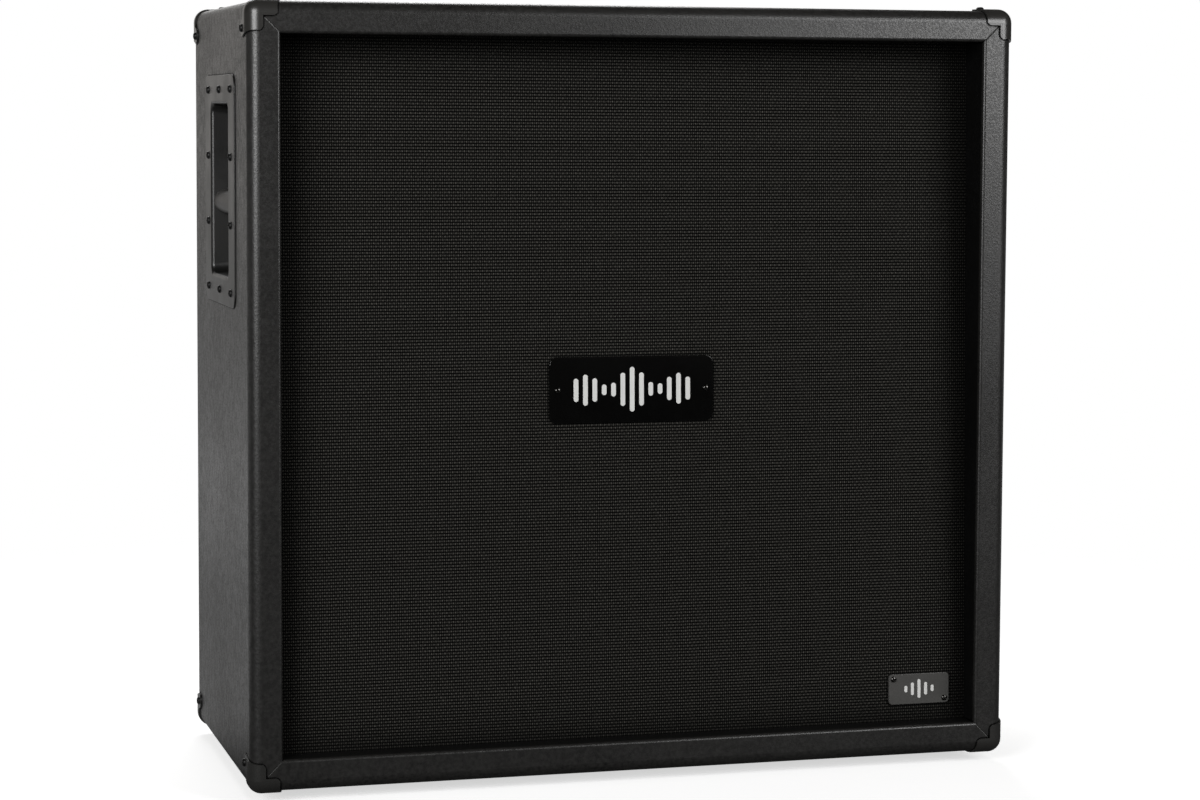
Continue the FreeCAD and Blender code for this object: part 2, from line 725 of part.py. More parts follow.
def handle_dish(drilled):
    outline = rounded_outline(PLATE_DEPTH / 2, PLATE_HEIGHT / 2, PLATE_ROUND,
                              lambda a, b: V(-HALF_W, HANDLE_SET_BACK + a, HANDLE_Z + b))
    plate = Part.Face(outline).extrude(V(-PLATE_WALL, 0, 0))
    rim = [e for e in plate.Edges if e.BoundBox.XMax < -HALF_W - PLATE_WALL / 2]
    plate = plate.makeFillet(PLATE_EDGE, rim)
    dish = plate.fuse(dish_hollow(DISH_WALL)).removeSplitter().cut(dish_hollow(0))
    near = PLATE_EDGE / 10
    mouth = []
    for edge in dish.Edges:
        bound = edge.BoundBox
        on_face = abs(bound.XMin + PLATE_X) < near and bound.XLength < near
        in_depth = abs(bound.Center.y - HANDLE_SET_BACK) < OPENING_DEPTH / 2 + near
        in_height = abs(bound.Center.z - HANDLE_Z) < OPENING_HEIGHT / 2 + near
        if on_face and in_depth and in_height:
            mouth.append(edge)
    return dish.makeFillet(OPENING_EDGE, mouth).cut(drilled)


def handle_grip():
    """A round bar across the dish, cut to the slope of its walls."""
    x = -PLATE_X + GRIP_INSET + GRIP_DIAMETER / 2
    start = V(x, HANDLE_SET_BACK - OPENING_DEPTH, HANDLE_Z - GRIP_DROP)
    bar = Part.makeCylinder(GRIP_DIAMETER / 2, 2 * OPENING_DEPTH, start, BACK)
    return bar.common(dish_hollow(0))


# Feet

def rubber_foot(x, y, drilled):
    foot = Part.makeCone(FOOT_RADIUS - FOOT_TAPER, FOOT_RADIUS, FOOT_HEIGHT, V(x, y, 0), UP)
    bore = Part.makeCylinder(FOOT_BORE, FOOT_HEIGHT - FOOT_FLOOR, V(x, y, 0), UP)
    return foot.cut([bore] + drilled)


# Jack plate and jacks

def jack_places():
    return {"input_jack": -JACK_X, "parallel_jack": JACK_X}


def jack_plate(drilled):
    outline = rounded_outline(JACK_PLATE_X, JACK_PLATE_Z, JACK_PLATE_ROUND,
                              lambda a, b: V(a, BACK_OUTER, JACK_Z + b))
    plate = Part.Face(outline).extrude(V(0, JACK_PLATE_WALL, 0))
    bushes = []
    for x in jack_places().values():
        middle = V(x, BACK_OUTER, JACK_Z)
        bushes.append(Part.makeCylinder(JACK_BUSH + SCREW_FIT, JACK_PLATE_WALL, middle, BACK))
    return plate.cut(bushes + drilled)


def jack(x):
    half = JACK_BODY_WIDTH / 2
    mouth = BACK_OUTER + JACK_PLATE_WALL + JACK_BUSH_OUT
    body = box(x - half, x + half, BACK_OUTER - JACK_BODY_LENGTH, BACK_OUTER, JACK_Z - half, JACK_Z + half)
    bush = Part.makeCylinder(JACK_BUSH, mouth - BACK_OUTER, V(x, BACK_OUTER, JACK_Z), BACK)
    bore = Part.makeCylinder(JACK_BORE, JACK_BORE_LENGTH, V(x, mouth, JACK_Z), FRONT)
    return body.fuse(bush).cut(bore)


def jack_nut(x):
    y = BACK_OUTER + JACK_PLATE_WALL
    radius = JACK_NUT_ACROSS / math.sqrt(3)
    corners = []
    for i in range(7):
        angle = math.pi / 3 * i
        corners.append(V(x + radius * math.cos(angle), y, JACK_Z + radius * math.sin(angle)))
    nut = Part.Face(Part.makePolygon(corners)).extrude(V(0, JACK_NUT_WALL, 0))
    return nut.cut(Part.makeCylinder(JACK_BUSH + SCREW_FIT, JACK_NUT_WALL, V(x, y, JACK_Z), BACK))


# Loudspeaker pieces, turned about +Z with the flange's front face at zero and the magnet above

SURROUND_OUTER = CUTOUT_R - SURROUND_FIT
ROLL_OUTER = SURROUND_OUTER - SURROUND_OUTER_LAND
ROLL_INNER = ROLL_OUTER - SURROUND_ROLL
RIM_R = ROLL_OUTER - SURROUND_OVERHANG
CONE_FLAT = ROLL_INNER - RIM_LAND
FORMER_R = COIL_INNER + FORMER_WALL
WINDING_R = FORMER_R + WINDING_WALL
NECK_R = FORMER_R + NECK_FIT
POLE_RADIUS = COIL_INNER - POLE_CLEAR
GAP_RADIUS = WINDING_R + GAP_CLEAR
MAGNET_BORE = GAP_RADIUS + MAGNET_CLEAR
MOTOR_BORE = GAP_RADIUS + MOTOR_CLEAR
DUST_CAP_RADIUS = NECK_R + DUST_CAP_LAND
SHELF_OUTER = SHELF_RADIUS + SHELF_WIDTH


def pleated(inner, outer, inner_land, outer_land, pleats, depth, middle, wall):
    """Zigzag sheet between two flat lands, as radius and height pairs round its section."""
    start = inner + inner_land
    step = (outer - outer_land - start) / (2 * pleats)
    line = [(inner, middle), (start, middle)]
    for i in range(1, 2 * pleats):
        height = -depth if i % 2 else 0
        line.append((start + i * step, middle + height))
    line += [(outer - outer_land, middle), (outer, middle)]
    near = [(r, s - wall / 2) for r, s in line]
    far = [(r, s + wall / 2) for r, s in reversed(line)]
    return turned(near + far)


def cone_front(radius):
    """Height of the cone's front face at a radius."""
    return CONE_DEPTH * (CONE_FLAT - radius) / (CONE_FLAT - NECK_R)


def cone():
    front = [(ROLL_INNER, 0), (CONE_FLAT, 0), (NECK_R, CONE_DEPTH)]
    rear = [(r, s + CONE_WALL) for r, s in reversed(front)]
    return turned(front + rear)


def dust_cap():
    foot = cone_front(DUST_CAP_RADIUS) - GLUE_GAP - DUST_CAP_WALL
    top = foot - DUST_CAP_RISE
    ball = (DUST_CAP_RADIUS ** 2 + DUST_CAP_RISE ** 2) / (2 * DUST_CAP_RISE)
    part_way = DUST_CAP_RADIUS / 2
    dip = ball - math.sqrt(ball ** 2 - part_way ** 2)
    edges = []
    for s in (0, DUST_CAP_WALL):
        shoulder = V(part_way, 0, top + dip + s)
        edges.append(Part.Arc(V(0, 0, top + s), shoulder, V(DUST_CAP_RADIUS, 0, foot + s)))
    shapes = [e.toShape() for e in edges]
    shapes.append(Part.makeLine(V(0, 0, top), V(0, 0, top + DUST_CAP_WALL)))
    shapes.append(Part.makeLine(V(DUST_CAP_RADIUS, 0, foot), V(DUST_CAP_RADIUS, 0, foot + DUST_CAP_WALL)))
    face = Part.Face(Part.Wire(Part.__sortEdges__(shapes)))
    return face.revolve(V(0, 0, 0), UP, FULL_TURN)


def voice_coil():
    middle = MOTOR_DEPTH + FRAME_WALL + PLATE_THICKNESS / 2
    first = middle - WINDING_LENGTH / 2
    last = middle + WINDING_LENGTH / 2
    outline = [(COIL_INNER, CONE_DEPTH - FORMER_TAIL), (FORMER_R, CONE_DEPTH - FORMER_TAIL)]
    outline += [(FORMER_R, first), (WINDING_R, first), (WINDING_R, last), (FORMER_R, last)]
    outline += [(FORMER_R, last + FORMER_TAIL), (COIL_INNER, last + FORMER_TAIL)]
    return turned(outline)


def surround():
    middle = -GLUE_GAP - SURROUND_WALL / 2
    return pleated(CONE_FLAT, SURROUND_OUTER, RIM_LAND, SURROUND_OUTER_LAND,
                   SURROUND_PLEATS, SURROUND_PLEAT_DEPTH, middle, SURROUND_WALL)


def spider():
    middle = SPIDER_DEPTH - GLUE_GAP - SPIDER_WALL / 2
    return pleated(NECK_R, SHELF_OUTER - FRAME_WALL, SPIDER_LAND, SHELF_WIDTH - FRAME_WALL,
                   SPIDER_PLEATS, SPIDER_PLEAT_DEPTH, middle, SPIDER_WALL)


def basket():
    """Pressed frame: flange, sloping wall with windows, spider shelf, rear cup."""
    t = FRAME_WALL
    outline = [
        (FRAME_R, 0), (FRAME_R, t), (RIM_R + t, t), (SHELF_OUTER + t, SPIDER_DEPTH + t),
        (SHELF_RADIUS + t, SPIDER_DEPTH + t), (SHELF_RADIUS + t, MOTOR_DEPTH + t),
        (MOTOR_BORE, MOTOR_DEPTH + t), (MOTOR_BORE, MOTOR_DEPTH), (SHELF_RADIUS, MOTOR_DEPTH),
        (SHELF_RADIUS, SPIDER_DEPTH), (SHELF_OUTER, SPIDER_DEPTH), (RIM_R, t), (RIM_R, 0),
    ]
    shape = turned(outline)
    low = WINDOW_EDGE
    high = SPIDER_DEPTH - WINDOW_EDGE
    half = math.radians(WINDOW_ANGLE) / 2
    near = V(SHELF_RADIUS * math.cos(half), -SHELF_RADIUS * math.sin(half), low)
    far = V(FRAME_R * math.cos(half), -FRAME_R * math.sin(half), low)
    across = [V(far.x, -far.y, low), V(near.x, -near.y, low)]
    wedge = Part.Face(Part.makePolygon([near, far] + across + [near])).extrude(V(0, 0, high - low))
    cuts = []
    for i in range(WINDOWS):
        cut = wedge.copy()
        cut.rotate(V(0, 0, 0), UP, FULL_TURN * (i + 0.5) / WINDOWS)
        cuts.append(cut)
    return shape.cut(cuts)


def gasket():
    return tube(FRAME_R - GASKET_EDGE, CUTOUT_R + GASKET_INSET, GASKET_WALL, V(0, 0, -GASKET_WALL), UP)


def front_plate():
    return tube(FRONT_PLATE_RADIUS, GAP_RADIUS, PLATE_THICKNESS, V(0, 0, MOTOR_DEPTH + FRAME_WALL), UP)


def magnet():
    start = MOTOR_DEPTH + FRAME_WALL + PLATE_THICKNESS
    return tube(MAGNET_RADIUS, MAGNET_BORE, MAGNET_LENGTH, V(0, 0, start), UP)


def yoke():
    """Rear plate with the pole that stands in the coil."""
    start = MOTOR_DEPTH + FRAME_WALL
    seat = start + PLATE_THICKNESS + MAGNET_LENGTH
    plate = Part.makeCylinder(YOKE_RADIUS, PLATE_THICKNESS, V(0, 0, seat), UP)
    return plate.fuse(Part.makeCylinder(POLE_RADIUS, seat - start, V(0, 0, start), UP)).removeSplitter()


def in_cabinet(shape, sx, sz):
    """Turn a loudspeaker piece to face the front and move it to its cut-out."""
    copy = shape.copy()
    copy.Placement = FreeCAD.Placement(speaker_middle(sx, sz), FreeCAD.Rotation(UP, BACK))
    return copy


def terminal_face(sx):
    """Where the leads meet the terminal block of a loudspeaker, on the side towards the middle."""
    return sx * (SPEAKER_STEP - SHELF_RADIUS - FRAME_WALL - TERMINAL_FIT - TERMINAL_WALL)


def terminal_y():
    return FLANGE_Y + SPIDER_DEPTH + FRAME_WALL + MOTOR_BEHIND / 2


def lead_y(sz):
    """Depth at which the leads of the upper or lower loudspeakers meet the leaning terminals."""
    return leaned(Part.Vertex(0, terminal_y(), Z_MID + sz * SPEAKER_STEP)).Point.y


def terminal(sx, sz):
    outer = terminal_face(sx)
    x0, x1 = sorted((outer, outer + sx * TERMINAL_WALL))
    y = terminal_y()
    z = speaker_middle(sx, sz).z
    half_y = TERMINAL_DEPTH / 2
    half_z = TERMINAL_WIDTH / 2
    return box(x0, x1, y - half_y, y + half_y, z - half_z, z + half_z)


# Leads

def lead(points):
    """A round lead along straight runs joined by arcs."""
    edges = []
    start = points[0]
    for before, corner, after in zip(points, points[1:], points[2:]):
        back = (before - corner).normalize()
        ahead = (after - corner).normalize()
        bend = LEAD_BEND
        first = corner + back * bend
        last = corner + ahead * bend
        middle = corner + (back + ahead) * (bend * (1 - math.sqrt(0.5)))
        edges.append(Part.makeLine(start, first))
        edges.append(Part.Arc(first, middle, last).toShape())
        start = last
    edges.append(Part.makeLine(start, points[-1]))
    path = Part.Wire(edges)
    direction = (points[1] - points[0]).normalize()
    profile = Part.Wire(Part.makeCircle(LEAD / 2, points[0], direction))
    return path.makePipeShell([profile], True, False)


def speaker_leads():
    leads = []
    jack_rear = BACK_OUTER - JACK_BODY_LENGTH
    for sx, sz in SPEAKERS.values():
        y = lead_y(sz)
        x = sx * JACK_X
        z = JACK_Z + sz * LEAD_SPACING / 2
        level = speaker_middle(sx, sz).z + sz * LEAD_SPACING / 2
        points = [V(x, jack_rear, z), V(x, y, z)]
        if sz > 0:
            points.append(V(x, y, level))
        points.append(V(terminal_face(sx), y, level))
        leads.append(lead(points))
    return leads


def lead_clip(sx):
    """A block on the side of the brace that a lead passes up through."""
    x0, x1 = sorted((sx * BRACE / 2, sx * (JACK_X + LEAD / 2 + CLIP_WALL)))
    y = lead_y(1)
    half_y = LEAD / 2 + CLIP_WALL
    half_z = CLIP_LENGTH / 2
    block = box(x0, x1, y - half_y, y + half_y, Z_MID - half_z, Z_MID + half_z)
    foot = V(sx * JACK_X, y, Z_MID - half_z)
    return block.cut(Part.makeCylinder(LEAD / 2 + LEAD_FIT, CLIP_LENGTH, foot, UP))


# Build and write every node

os.makedirs("parts", exist_ok=True)

cap_seats = corner_cap_seats()
plate_seats = handle_seats()
rear_seats = batten_seats(BACK_OUTER)
baffle_seats = batten_seats(BAFFLE_REAR + BATTEN)
socket_seats = jack_plate_seats()
plaque_seats = badge_seats()
foot_seats = [(V(x, y, FOOT_HEIGHT - FOOT_FLOOR), DOWN) for x, y in foot_places()]

cap_holes = holes(cap_seats, SCREW_SHANK, SCREW_LENGTH)
plate_holes = holes(plate_seats, SCREW_SHANK, SCREW_LENGTH)
rear_holes = holes(rear_seats, SCREW_SHANK, BOARD_SCREW_LENGTH)
baffle_holes = holes(baffle_seats, SCREW_SHANK, BOARD_SCREW_LENGTH)
socket_holes = holes(socket_seats, SCREW_SHANK, SCREW_LENGTH)
plaque_holes = holes(plaque_seats, BADGE_SCREW_SHANK, BADGE_SCREW_LENGTH)
foot_holes = holes(foot_seats, SCREW_SHANK, SCREW_LENGTH)

case_panels(cap_holes + plate_holes + foot_holes)
save("front_rails", front_rails())
save("vinyl_covering", vinyl_covering(cap_holes + plate_holes + foot_holes))

save("baffle_battens", baffle_battens(baffle_holes))
rear_battens = frame_of_bars(INNER_X, INNER_Z, BATTEN, BACK_INNER - BATTEN, BACK_INNER)
save("rear_battens", [batten.cut(rear_holes + cap_holes) for batten in rear_battens])
save("back_panel", back_panel(rear_holes + socket_holes))
half = BRACE / 2
brace = box(-half, half, CLOTH_Y, BACK_INNER, Z_MID - half, Z_MID + half)
save("centre_brace", brace.common(behind(BAFFLE_REAR)))

all_bolts = []
for signs in SPEAKERS.values():
    all_bolts += bolt_seats(*signs)
bolt_length = FRAME_WALL + GASKET_WALL + BOLT_BITE
bolt_holes = holes(all_bolts, BOLT_SHANK, bolt_length)
save_leaned("baffle_board", baffle_board(bolt_holes + plaque_holes + baffle_holes))
save_leaned("grille_cloth", grille_cloth(plaque_holes))
save_leaned("speaker_bolts", at_seats(screw(BOLT_HEAD, BOLT_HEAD_HEIGHT, BOLT_SHANK, bolt_length), all_bolts))

badge_x, badge_z = small_badge_middle()
save_leaned("main_badge", badge_plate(0, Z_MID, BADGE_WIDTH, BADGE_HEIGHT, BADGE_ROUND, plaque_holes))
save_leaned("corner_badge", badge_plate(badge_x, badge_z, SMALL_BADGE_WIDTH, SMALL_BADGE_HEIGHT,
                                        SMALL_BADGE_ROUND, plaque_holes))
badge_screw = screw(BADGE_SCREW_HEAD, BADGE_SCREW_DOME, BADGE_SCREW_SHANK, BADGE_SCREW_LENGTH)
save_leaned("badge_screws", at_seats(badge_screw, plaque_seats))

save("corner_protectors", corner_protectors(cap_holes))
case_screw = screw(SCREW_HEAD, SCREW_DOME, SCREW_SHANK, SCREW_LENGTH)
save("case_screws", at_seats(case_screw, cap_seats + plate_seats + foot_seats + socket_seats))

left_dish = handle_dish(plate_holes)
save("left_handle_dish", left_dish)
save("right_handle_dish", mirrored(left_dish, True))
left_grip = handle_grip()
save("left_handle_grip", left_grip)
save("right_handle_grip", mirrored(left_grip, True))

save("rubber_feet", [rubber_foot(x, y, foot_holes) for x, y in foot_places()])

save("jack_plate", jack_plate(socket_holes))
for name, x in jack_places().items():
    save(name, jack(x))
save("jack_nuts", [jack_nut(x) for x in jack_places().values()])
board_screw = screw(SCREW_HEAD, SCREW_DOME, SCREW_SHANK, BOARD_SCREW_LENGTH)
baffle_screws = [leaned(each) for each in at_seats(board_screw, baffle_seats)]
save("board_screws", at_seats(board_screw, rear_seats) + baffle_screws)
save("speaker_leads", speaker_leads())
save("lead_clips", [lead_clip(-1), lead_clip(1)])

basket_shape = basket()
moving = {"cone": cone(), "dust_cap": dust_cap(), "voice_coil": voice_coil()}
bending = {"surround": surround(), "spider": spider()}
fixed = {"gaskets": gasket(), "front_plates": front_plate(), "magnets": magnet(), "yokes": yoke()}
for place, (sx, sz) in SPEAKERS.items():
    for name, shape in {**moving, **bending}.items():
        save_leaned(place + "_" + name, in_cabinet(shape, sx, sz))
    save_leaned(place + "_basket", in_cabinet(basket_shape, sx, sz).cut(bolt_holes))
for name, shape in fixed.items():
    group = [in_cabinet(shape, sx, sz) for sx, sz in SPEAKERS.values()]
    if name == "gaskets":
        group = [piece.cut(bolt_holes) for piece in group]
    save_leaned("speaker_" + name, group)
save_leaned("speaker_terminals", [terminal(sx, sz) for sx, sz in SPEAKERS.values()])
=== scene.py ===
"""Finishes, grille cloth, badge motifs and studio of the guitar speaker cabinet."""
import math

import bmesh
import bpy
from mathutils import Matrix, Vector


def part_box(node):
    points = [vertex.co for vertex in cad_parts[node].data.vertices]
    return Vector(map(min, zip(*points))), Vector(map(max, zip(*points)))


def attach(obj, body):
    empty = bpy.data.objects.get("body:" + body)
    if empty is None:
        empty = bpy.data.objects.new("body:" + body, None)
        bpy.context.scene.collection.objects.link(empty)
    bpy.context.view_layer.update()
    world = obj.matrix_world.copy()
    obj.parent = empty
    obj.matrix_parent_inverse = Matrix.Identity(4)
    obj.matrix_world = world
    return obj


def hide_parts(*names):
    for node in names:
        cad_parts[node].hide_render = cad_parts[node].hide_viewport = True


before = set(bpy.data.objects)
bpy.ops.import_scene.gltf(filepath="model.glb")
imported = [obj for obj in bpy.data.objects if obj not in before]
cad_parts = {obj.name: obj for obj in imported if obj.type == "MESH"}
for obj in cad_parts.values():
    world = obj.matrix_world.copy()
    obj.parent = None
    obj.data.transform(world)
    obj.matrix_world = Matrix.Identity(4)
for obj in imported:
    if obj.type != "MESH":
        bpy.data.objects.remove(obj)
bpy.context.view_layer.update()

bl_info = {
    "name": "Speaker Cabinet Looks",
    "version": (1, 0, 0),
    "blender": (4, 5, 0),
    "location": "3D View > Sidebar > Cabinet",
    "description": "Covering, cloth, hardware finishes and studio of a guitar speaker cabinet",
    "category": "Object",
}

CASE = "cabinet"
SPEAKERS = ("upper_left", "upper_right", "lower_left", "lower_right")

# Covering: lengths in metres, and pairs between which an effect fades in
CASE_WALL = 0.015
# Painted shade on the front recess's walls: where it starts behind the front, its fade, and its end in depth
RECESS_SHADE_START = 0.004
RECESS_SHADE_EDGE = 0.002
RECESS_SHADE_END = (0.0, 0.01)
RUBBED_VINYL = (0.0185, 0.0176, 0.0166)
RUBBED_SHARE = 0.25
VINYL_SPECKS = (0.040, 0.039, 0.037)
SPECK_SHARE = 0.40
VINYL_GLOSS = (0.28, 0.39)
VINYL_RELIEF = 0.00003
PATCH_ROUGHNESS = 0.05
SIDE_GRAIN_START = (0.006, 0.001)
SIDE_GRAIN_SCALE = (120.0, 190.0, 90.0)
SIDE_GRAIN_ROUGHNESS = 0.10
# Painted shade in the covering's crevices: its reach, the openness span over which it fades in, its colour
# and added roughness
CREVICE_SHADE_REACH = 0.003
CREVICE_SHADE_SPAN = (0.68, 0.90)
CREVICE_SHADE_COLOUR = (0.0025, 0.0025, 0.0025)
CREVICE_SHADE_ROUGHNESS = 0.4

# Cloth on the baffle, which leans back by LEAN_BACK over LEAN_RISE
LEAN_BACK, LEAN_RISE = 0.019, 0.688
BAFFLE_LEAN = math.atan2(LEAN_BACK, LEAN_RISE)
CLOTH_COLUMNS, CLOTH_ROWS = 170, 166
CLOTH_WALL = 0.0008
CLOTH_TURN_SHARE = 0.9
CLOTH_DIP_EASE = 0.12
CLOTH_HOLE = (0.0006, 0.0006, 0.0006)
CLOTH_RELIEF = 0.0005
# Painted shade on the cloth: the yarn tops dim within this reach of the recess's walls, by this span and
# share
CLOTH_SHADE_REACH = 0.09
CLOTH_CORNER_SHADE = (0.45, 1.0, 0.30, 1.0)

# Badge motifs: shares of a plate's width or height, and of a bar's width or relief
WAVE_SPAN = 0.74
WAVE_LENGTH = 0.30
WAVE_LOW, WAVE_RISE = 0.14, 0.54
WAVE_BAR_SHARE = 0.5
CORNER_HEIGHTS = (0.22, 0.42, 0.62, 0.42, 0.22)
CORNER_STEP = 0.11
CORNER_BAR = 0.05
BAR_ROUNDING, BAR_SEGMENTS = 0.49, 6
BAR_INSET, BAR_CROWN = 0.4, 0.25

# Studio: each softbox's name, place, aim, width, height and watts, and where floor and room change
SOFTBOXES = (
    ("Right Softbox", (1.7, -2.25, 1.3), (0.3, -0.2, 0.6), 1.4, 1.3, 37.0),
    ("Left Softbox", (-2.05, -2.1, 1.2), (-0.35, -0.2, 0.6), 1.5, 1.3, 50.0),
    ("Rear Softbox", (0.0, 2.2, 2.4), (0.0, 0.2, 0.5), 2.0, 1.4, 45.0),
)
WHITE = (1.0, 1.0, 1.0, 1.0)
ROOM_TINT = (1.0, 0.93, 0.85, 1.0)
ROOM_BACK_START = (0.84, 0.97)
FLOOR_FLAG_END = (1.0, 2.5)
FLOOR_FADE = (0.5, 1.6)
FLOOR_GLOW = 0.62
FLOOR_MIRROR_START = (-0.1, 0.3)
FRAME_WIDTH = 36.0
VIEW_END = 100.0


# Settings

class CabinetLooks(bpy.types.PropertyGroup):
    """Sizes and colours of the cabinet's finishes."""

    vinyl_colour: bpy.props.FloatVectorProperty(
        name="Vinyl Colour", description="Colour on the raised pebbles of the covering",
        subtype="COLOR", size=3, min=0, max=1, default=(0.0140, 0.0136, 0.0131))
    vinyl_valley: bpy.props.FloatVectorProperty(
        name="Vinyl Valley Colour", description="Colour between the pebbles of the covering",
        subtype="COLOR", size=3, min=0, max=1, default=(0.0034, 0.0033, 0.0032))
    pebble: bpy.props.FloatProperty(
        name="Pebble Size", description="Width of one pebble of the vinyl grain",
        unit="LENGTH", min=0.0003, max=0.01, default=0.0020)
    cloth_colour: bpy.props.FloatVectorProperty(
        name="Cloth Colour", description="Colour of the grille cloth's yarn",
        subtype="COLOR", size=3, min=0, max=1, default=(0.0022, 0.0022, 0.0021))
    yarn_top_colour: bpy.props.FloatVectorProperty(
        name="Yarn Top Colour", description="Colour where a yarn of the grille cloth comes to the top",
        subtype="COLOR", size=3, min=0, max=1, default=(0.098, 0.094, 0.084))
    yarn_across: bpy.props.FloatProperty(
        name="Yarn Spacing Across", description="Width of one cell of the grille cloth's weave",
        unit="LENGTH", min=0.0005, max=0.01, default=0.00219)
    yarn_up: bpy.props.FloatProperty(
        name="Yarn Spacing Up", description="Height of one cell of the grille cloth's weave",
        unit="LENGTH", min=0.0005, max=0.01, default=0.00305)
    cloth_dip: bpy.props.FloatProperty(
        name="Cloth Dip", description="How far the cloth sinks into the baffle's round openings",
        unit="LENGTH", min=0, max=0.005, default=0.0012)
    motif_colour: bpy.props.FloatVectorProperty(
        name="Motif Colour", description="Colour of the raised bars on the badges",
        subtype="COLOR", size=3, min=0, max=1, default=(0.86, 0.86, 0.84))
    motif_bars: bpy.props.IntProperty(
        name="Motif Bars", description="Number of bars in the main badge's wave", min=3, max=25, default=13)
    motif_relief: bpy.props.FloatProperty(
        name="Motif Relief", description="How far the motif stands off its plate",
        unit="LENGTH", min=0.0001, max=0.003, default=0.0004)


class StudioSettings(bpy.types.PropertyGroup):
    """Camera, lamps and floor."""

    camera_place: bpy.props.FloatVectorProperty(
        name="Camera Place", description="Where the camera stands", subtype="TRANSLATION", unit="LENGTH",
        size=3, default=(-0.8172, -2.9158, 0.6551))
    camera_yaw: bpy.props.FloatProperty(
        name="Camera Yaw", description="Turn of the view from the depth direction to the right",
        subtype="ANGLE", default=math.radians(15.789))
    camera_pitch: bpy.props.FloatProperty(
        name="Camera Pitch", description="Rise of the view above the horizon",
        subtype="ANGLE", default=math.radians(-4.344))
    camera_roll: bpy.props.FloatProperty(
        name="Camera Roll", description="Turn of the camera about its own view",
        subtype="ANGLE", default=math.radians(0.283))
    lens: bpy.props.FloatProperty(
        name="Lens", description="Focal length in millimetres for a frame 36 mm wide", min=1, default=88.343)
    shift_up: bpy.props.FloatProperty(
        name="Shift Up", description="Vertical shift of the lens, as a share of the frame's width",
        default=-0.05)
    floor_colour: bpy.props.FloatVectorProperty(
        name="Floor Colour", description="Colour of the plain floor",
        subtype="COLOR", size=3, min=0, max=1, default=(0.86, 0.86, 0.86))
    flag_colour: bpy.props.FloatVectorProperty(
        name="Flag Colour", description="Colour of the dark cloth on the floor before the cabinet, unseen",
        subtype="COLOR", size=3, min=0, max=1, default=(0.10, 0.10, 0.10))
    floor_size: bpy.props.FloatProperty(
        name="Floor Size", description="Width of the floor", unit="LENGTH", min=2, default=24.0)
    room_front: bpy.props.FloatProperty(
        name="Room Light In Front", description="Brightness of the room before the cabinet",
        min=0, default=0.04)
    room_back: bpy.props.FloatProperty(
        name="Room Light Behind", description="Brightness of the room behind the cabinet",
        min=0, default=0.36)
    backdrop_gloss: bpy.props.FloatProperty(
        name="Backdrop In Reflections", description="Share of the white backdrop that reflections show",
        subtype="FACTOR", min=0, max=1, default=0.3)


# Shader building

FLOAT = "NodeSocketFloat"
VECTOR = "NodeSocketVector"
GROUPS = {}


def wire(tree, source, target):
    """Links an output to an input."""
    tree.links.new(source, target)


def put(tree, kind, inputs=None, **settings):
    """A new node with its settings, whose inputs take a number, a colour or another node's output."""
    node = tree.nodes.new(kind)
    for key, value in settings.items():
        setattr(node, key, value)
    for key, value in (inputs or {}).items():
        if isinstance(value, bpy.types.NodeSocket):
            wire(tree, value, node.inputs[key])
        else:
            node.inputs[key].default_value = value
    return node


def maths(tree, operation, first, second=0.0, third=0.0):
    """The result of a Math node."""
    return put(tree, "ShaderNodeMath", {0: first, 1: second, 2: third}, operation=operation).outputs[0]


def spread(tree, value, low, high, to_low=0.0, to_high=1.0):
    """Maps a value smoothly from one span to another."""
    inputs = {"Value": value, "From Min": low, "From Max": high, "To Min": to_low, "To Max": to_high}
    return put(tree, "ShaderNodeMapRange", inputs, interpolation_type="SMOOTHSTEP").outputs[0]


def mix_colour(tree, share, first, second):
    """Blends from the first colour to the second by a share, where a colour may be plain or a socket."""
    inputs = {}
    for index, value in ((0, share), (6, first), (7, second)):
        is_colour = index > 0 and not isinstance(value, bpy.types.NodeSocket)
        inputs[index] = (*value, 1.0) if is_colour and len(value) == 3 else value
    return put(tree, "ShaderNodeMix", inputs, data_type="RGBA").outputs[2]


def openness(tree, reach):
    """1 where a surface lies open, and less where others stand over it within reach."""
    return put(tree, "ShaderNodeAmbientOcclusion", {"Distance": reach}, samples=8).outputs["AO"]


def new_group(name, inputs, outputs):
    """An empty shader group with its sockets, and the sockets to wire from and to."""
    tree = bpy.data.node_groups.new(name, "ShaderNodeTree")
    for label, kind, default in inputs:
        socket = tree.interface.new_socket(label, in_out="INPUT", socket_type=kind)
        if default is not None:
            socket.default_value = default
    for label, kind in outputs:
        tree.interface.new_socket(label, in_out="OUTPUT", socket_type=kind)
    return tree, tree.nodes.new("NodeGroupInput").outputs, tree.nodes.new("NodeGroupOutput").inputs


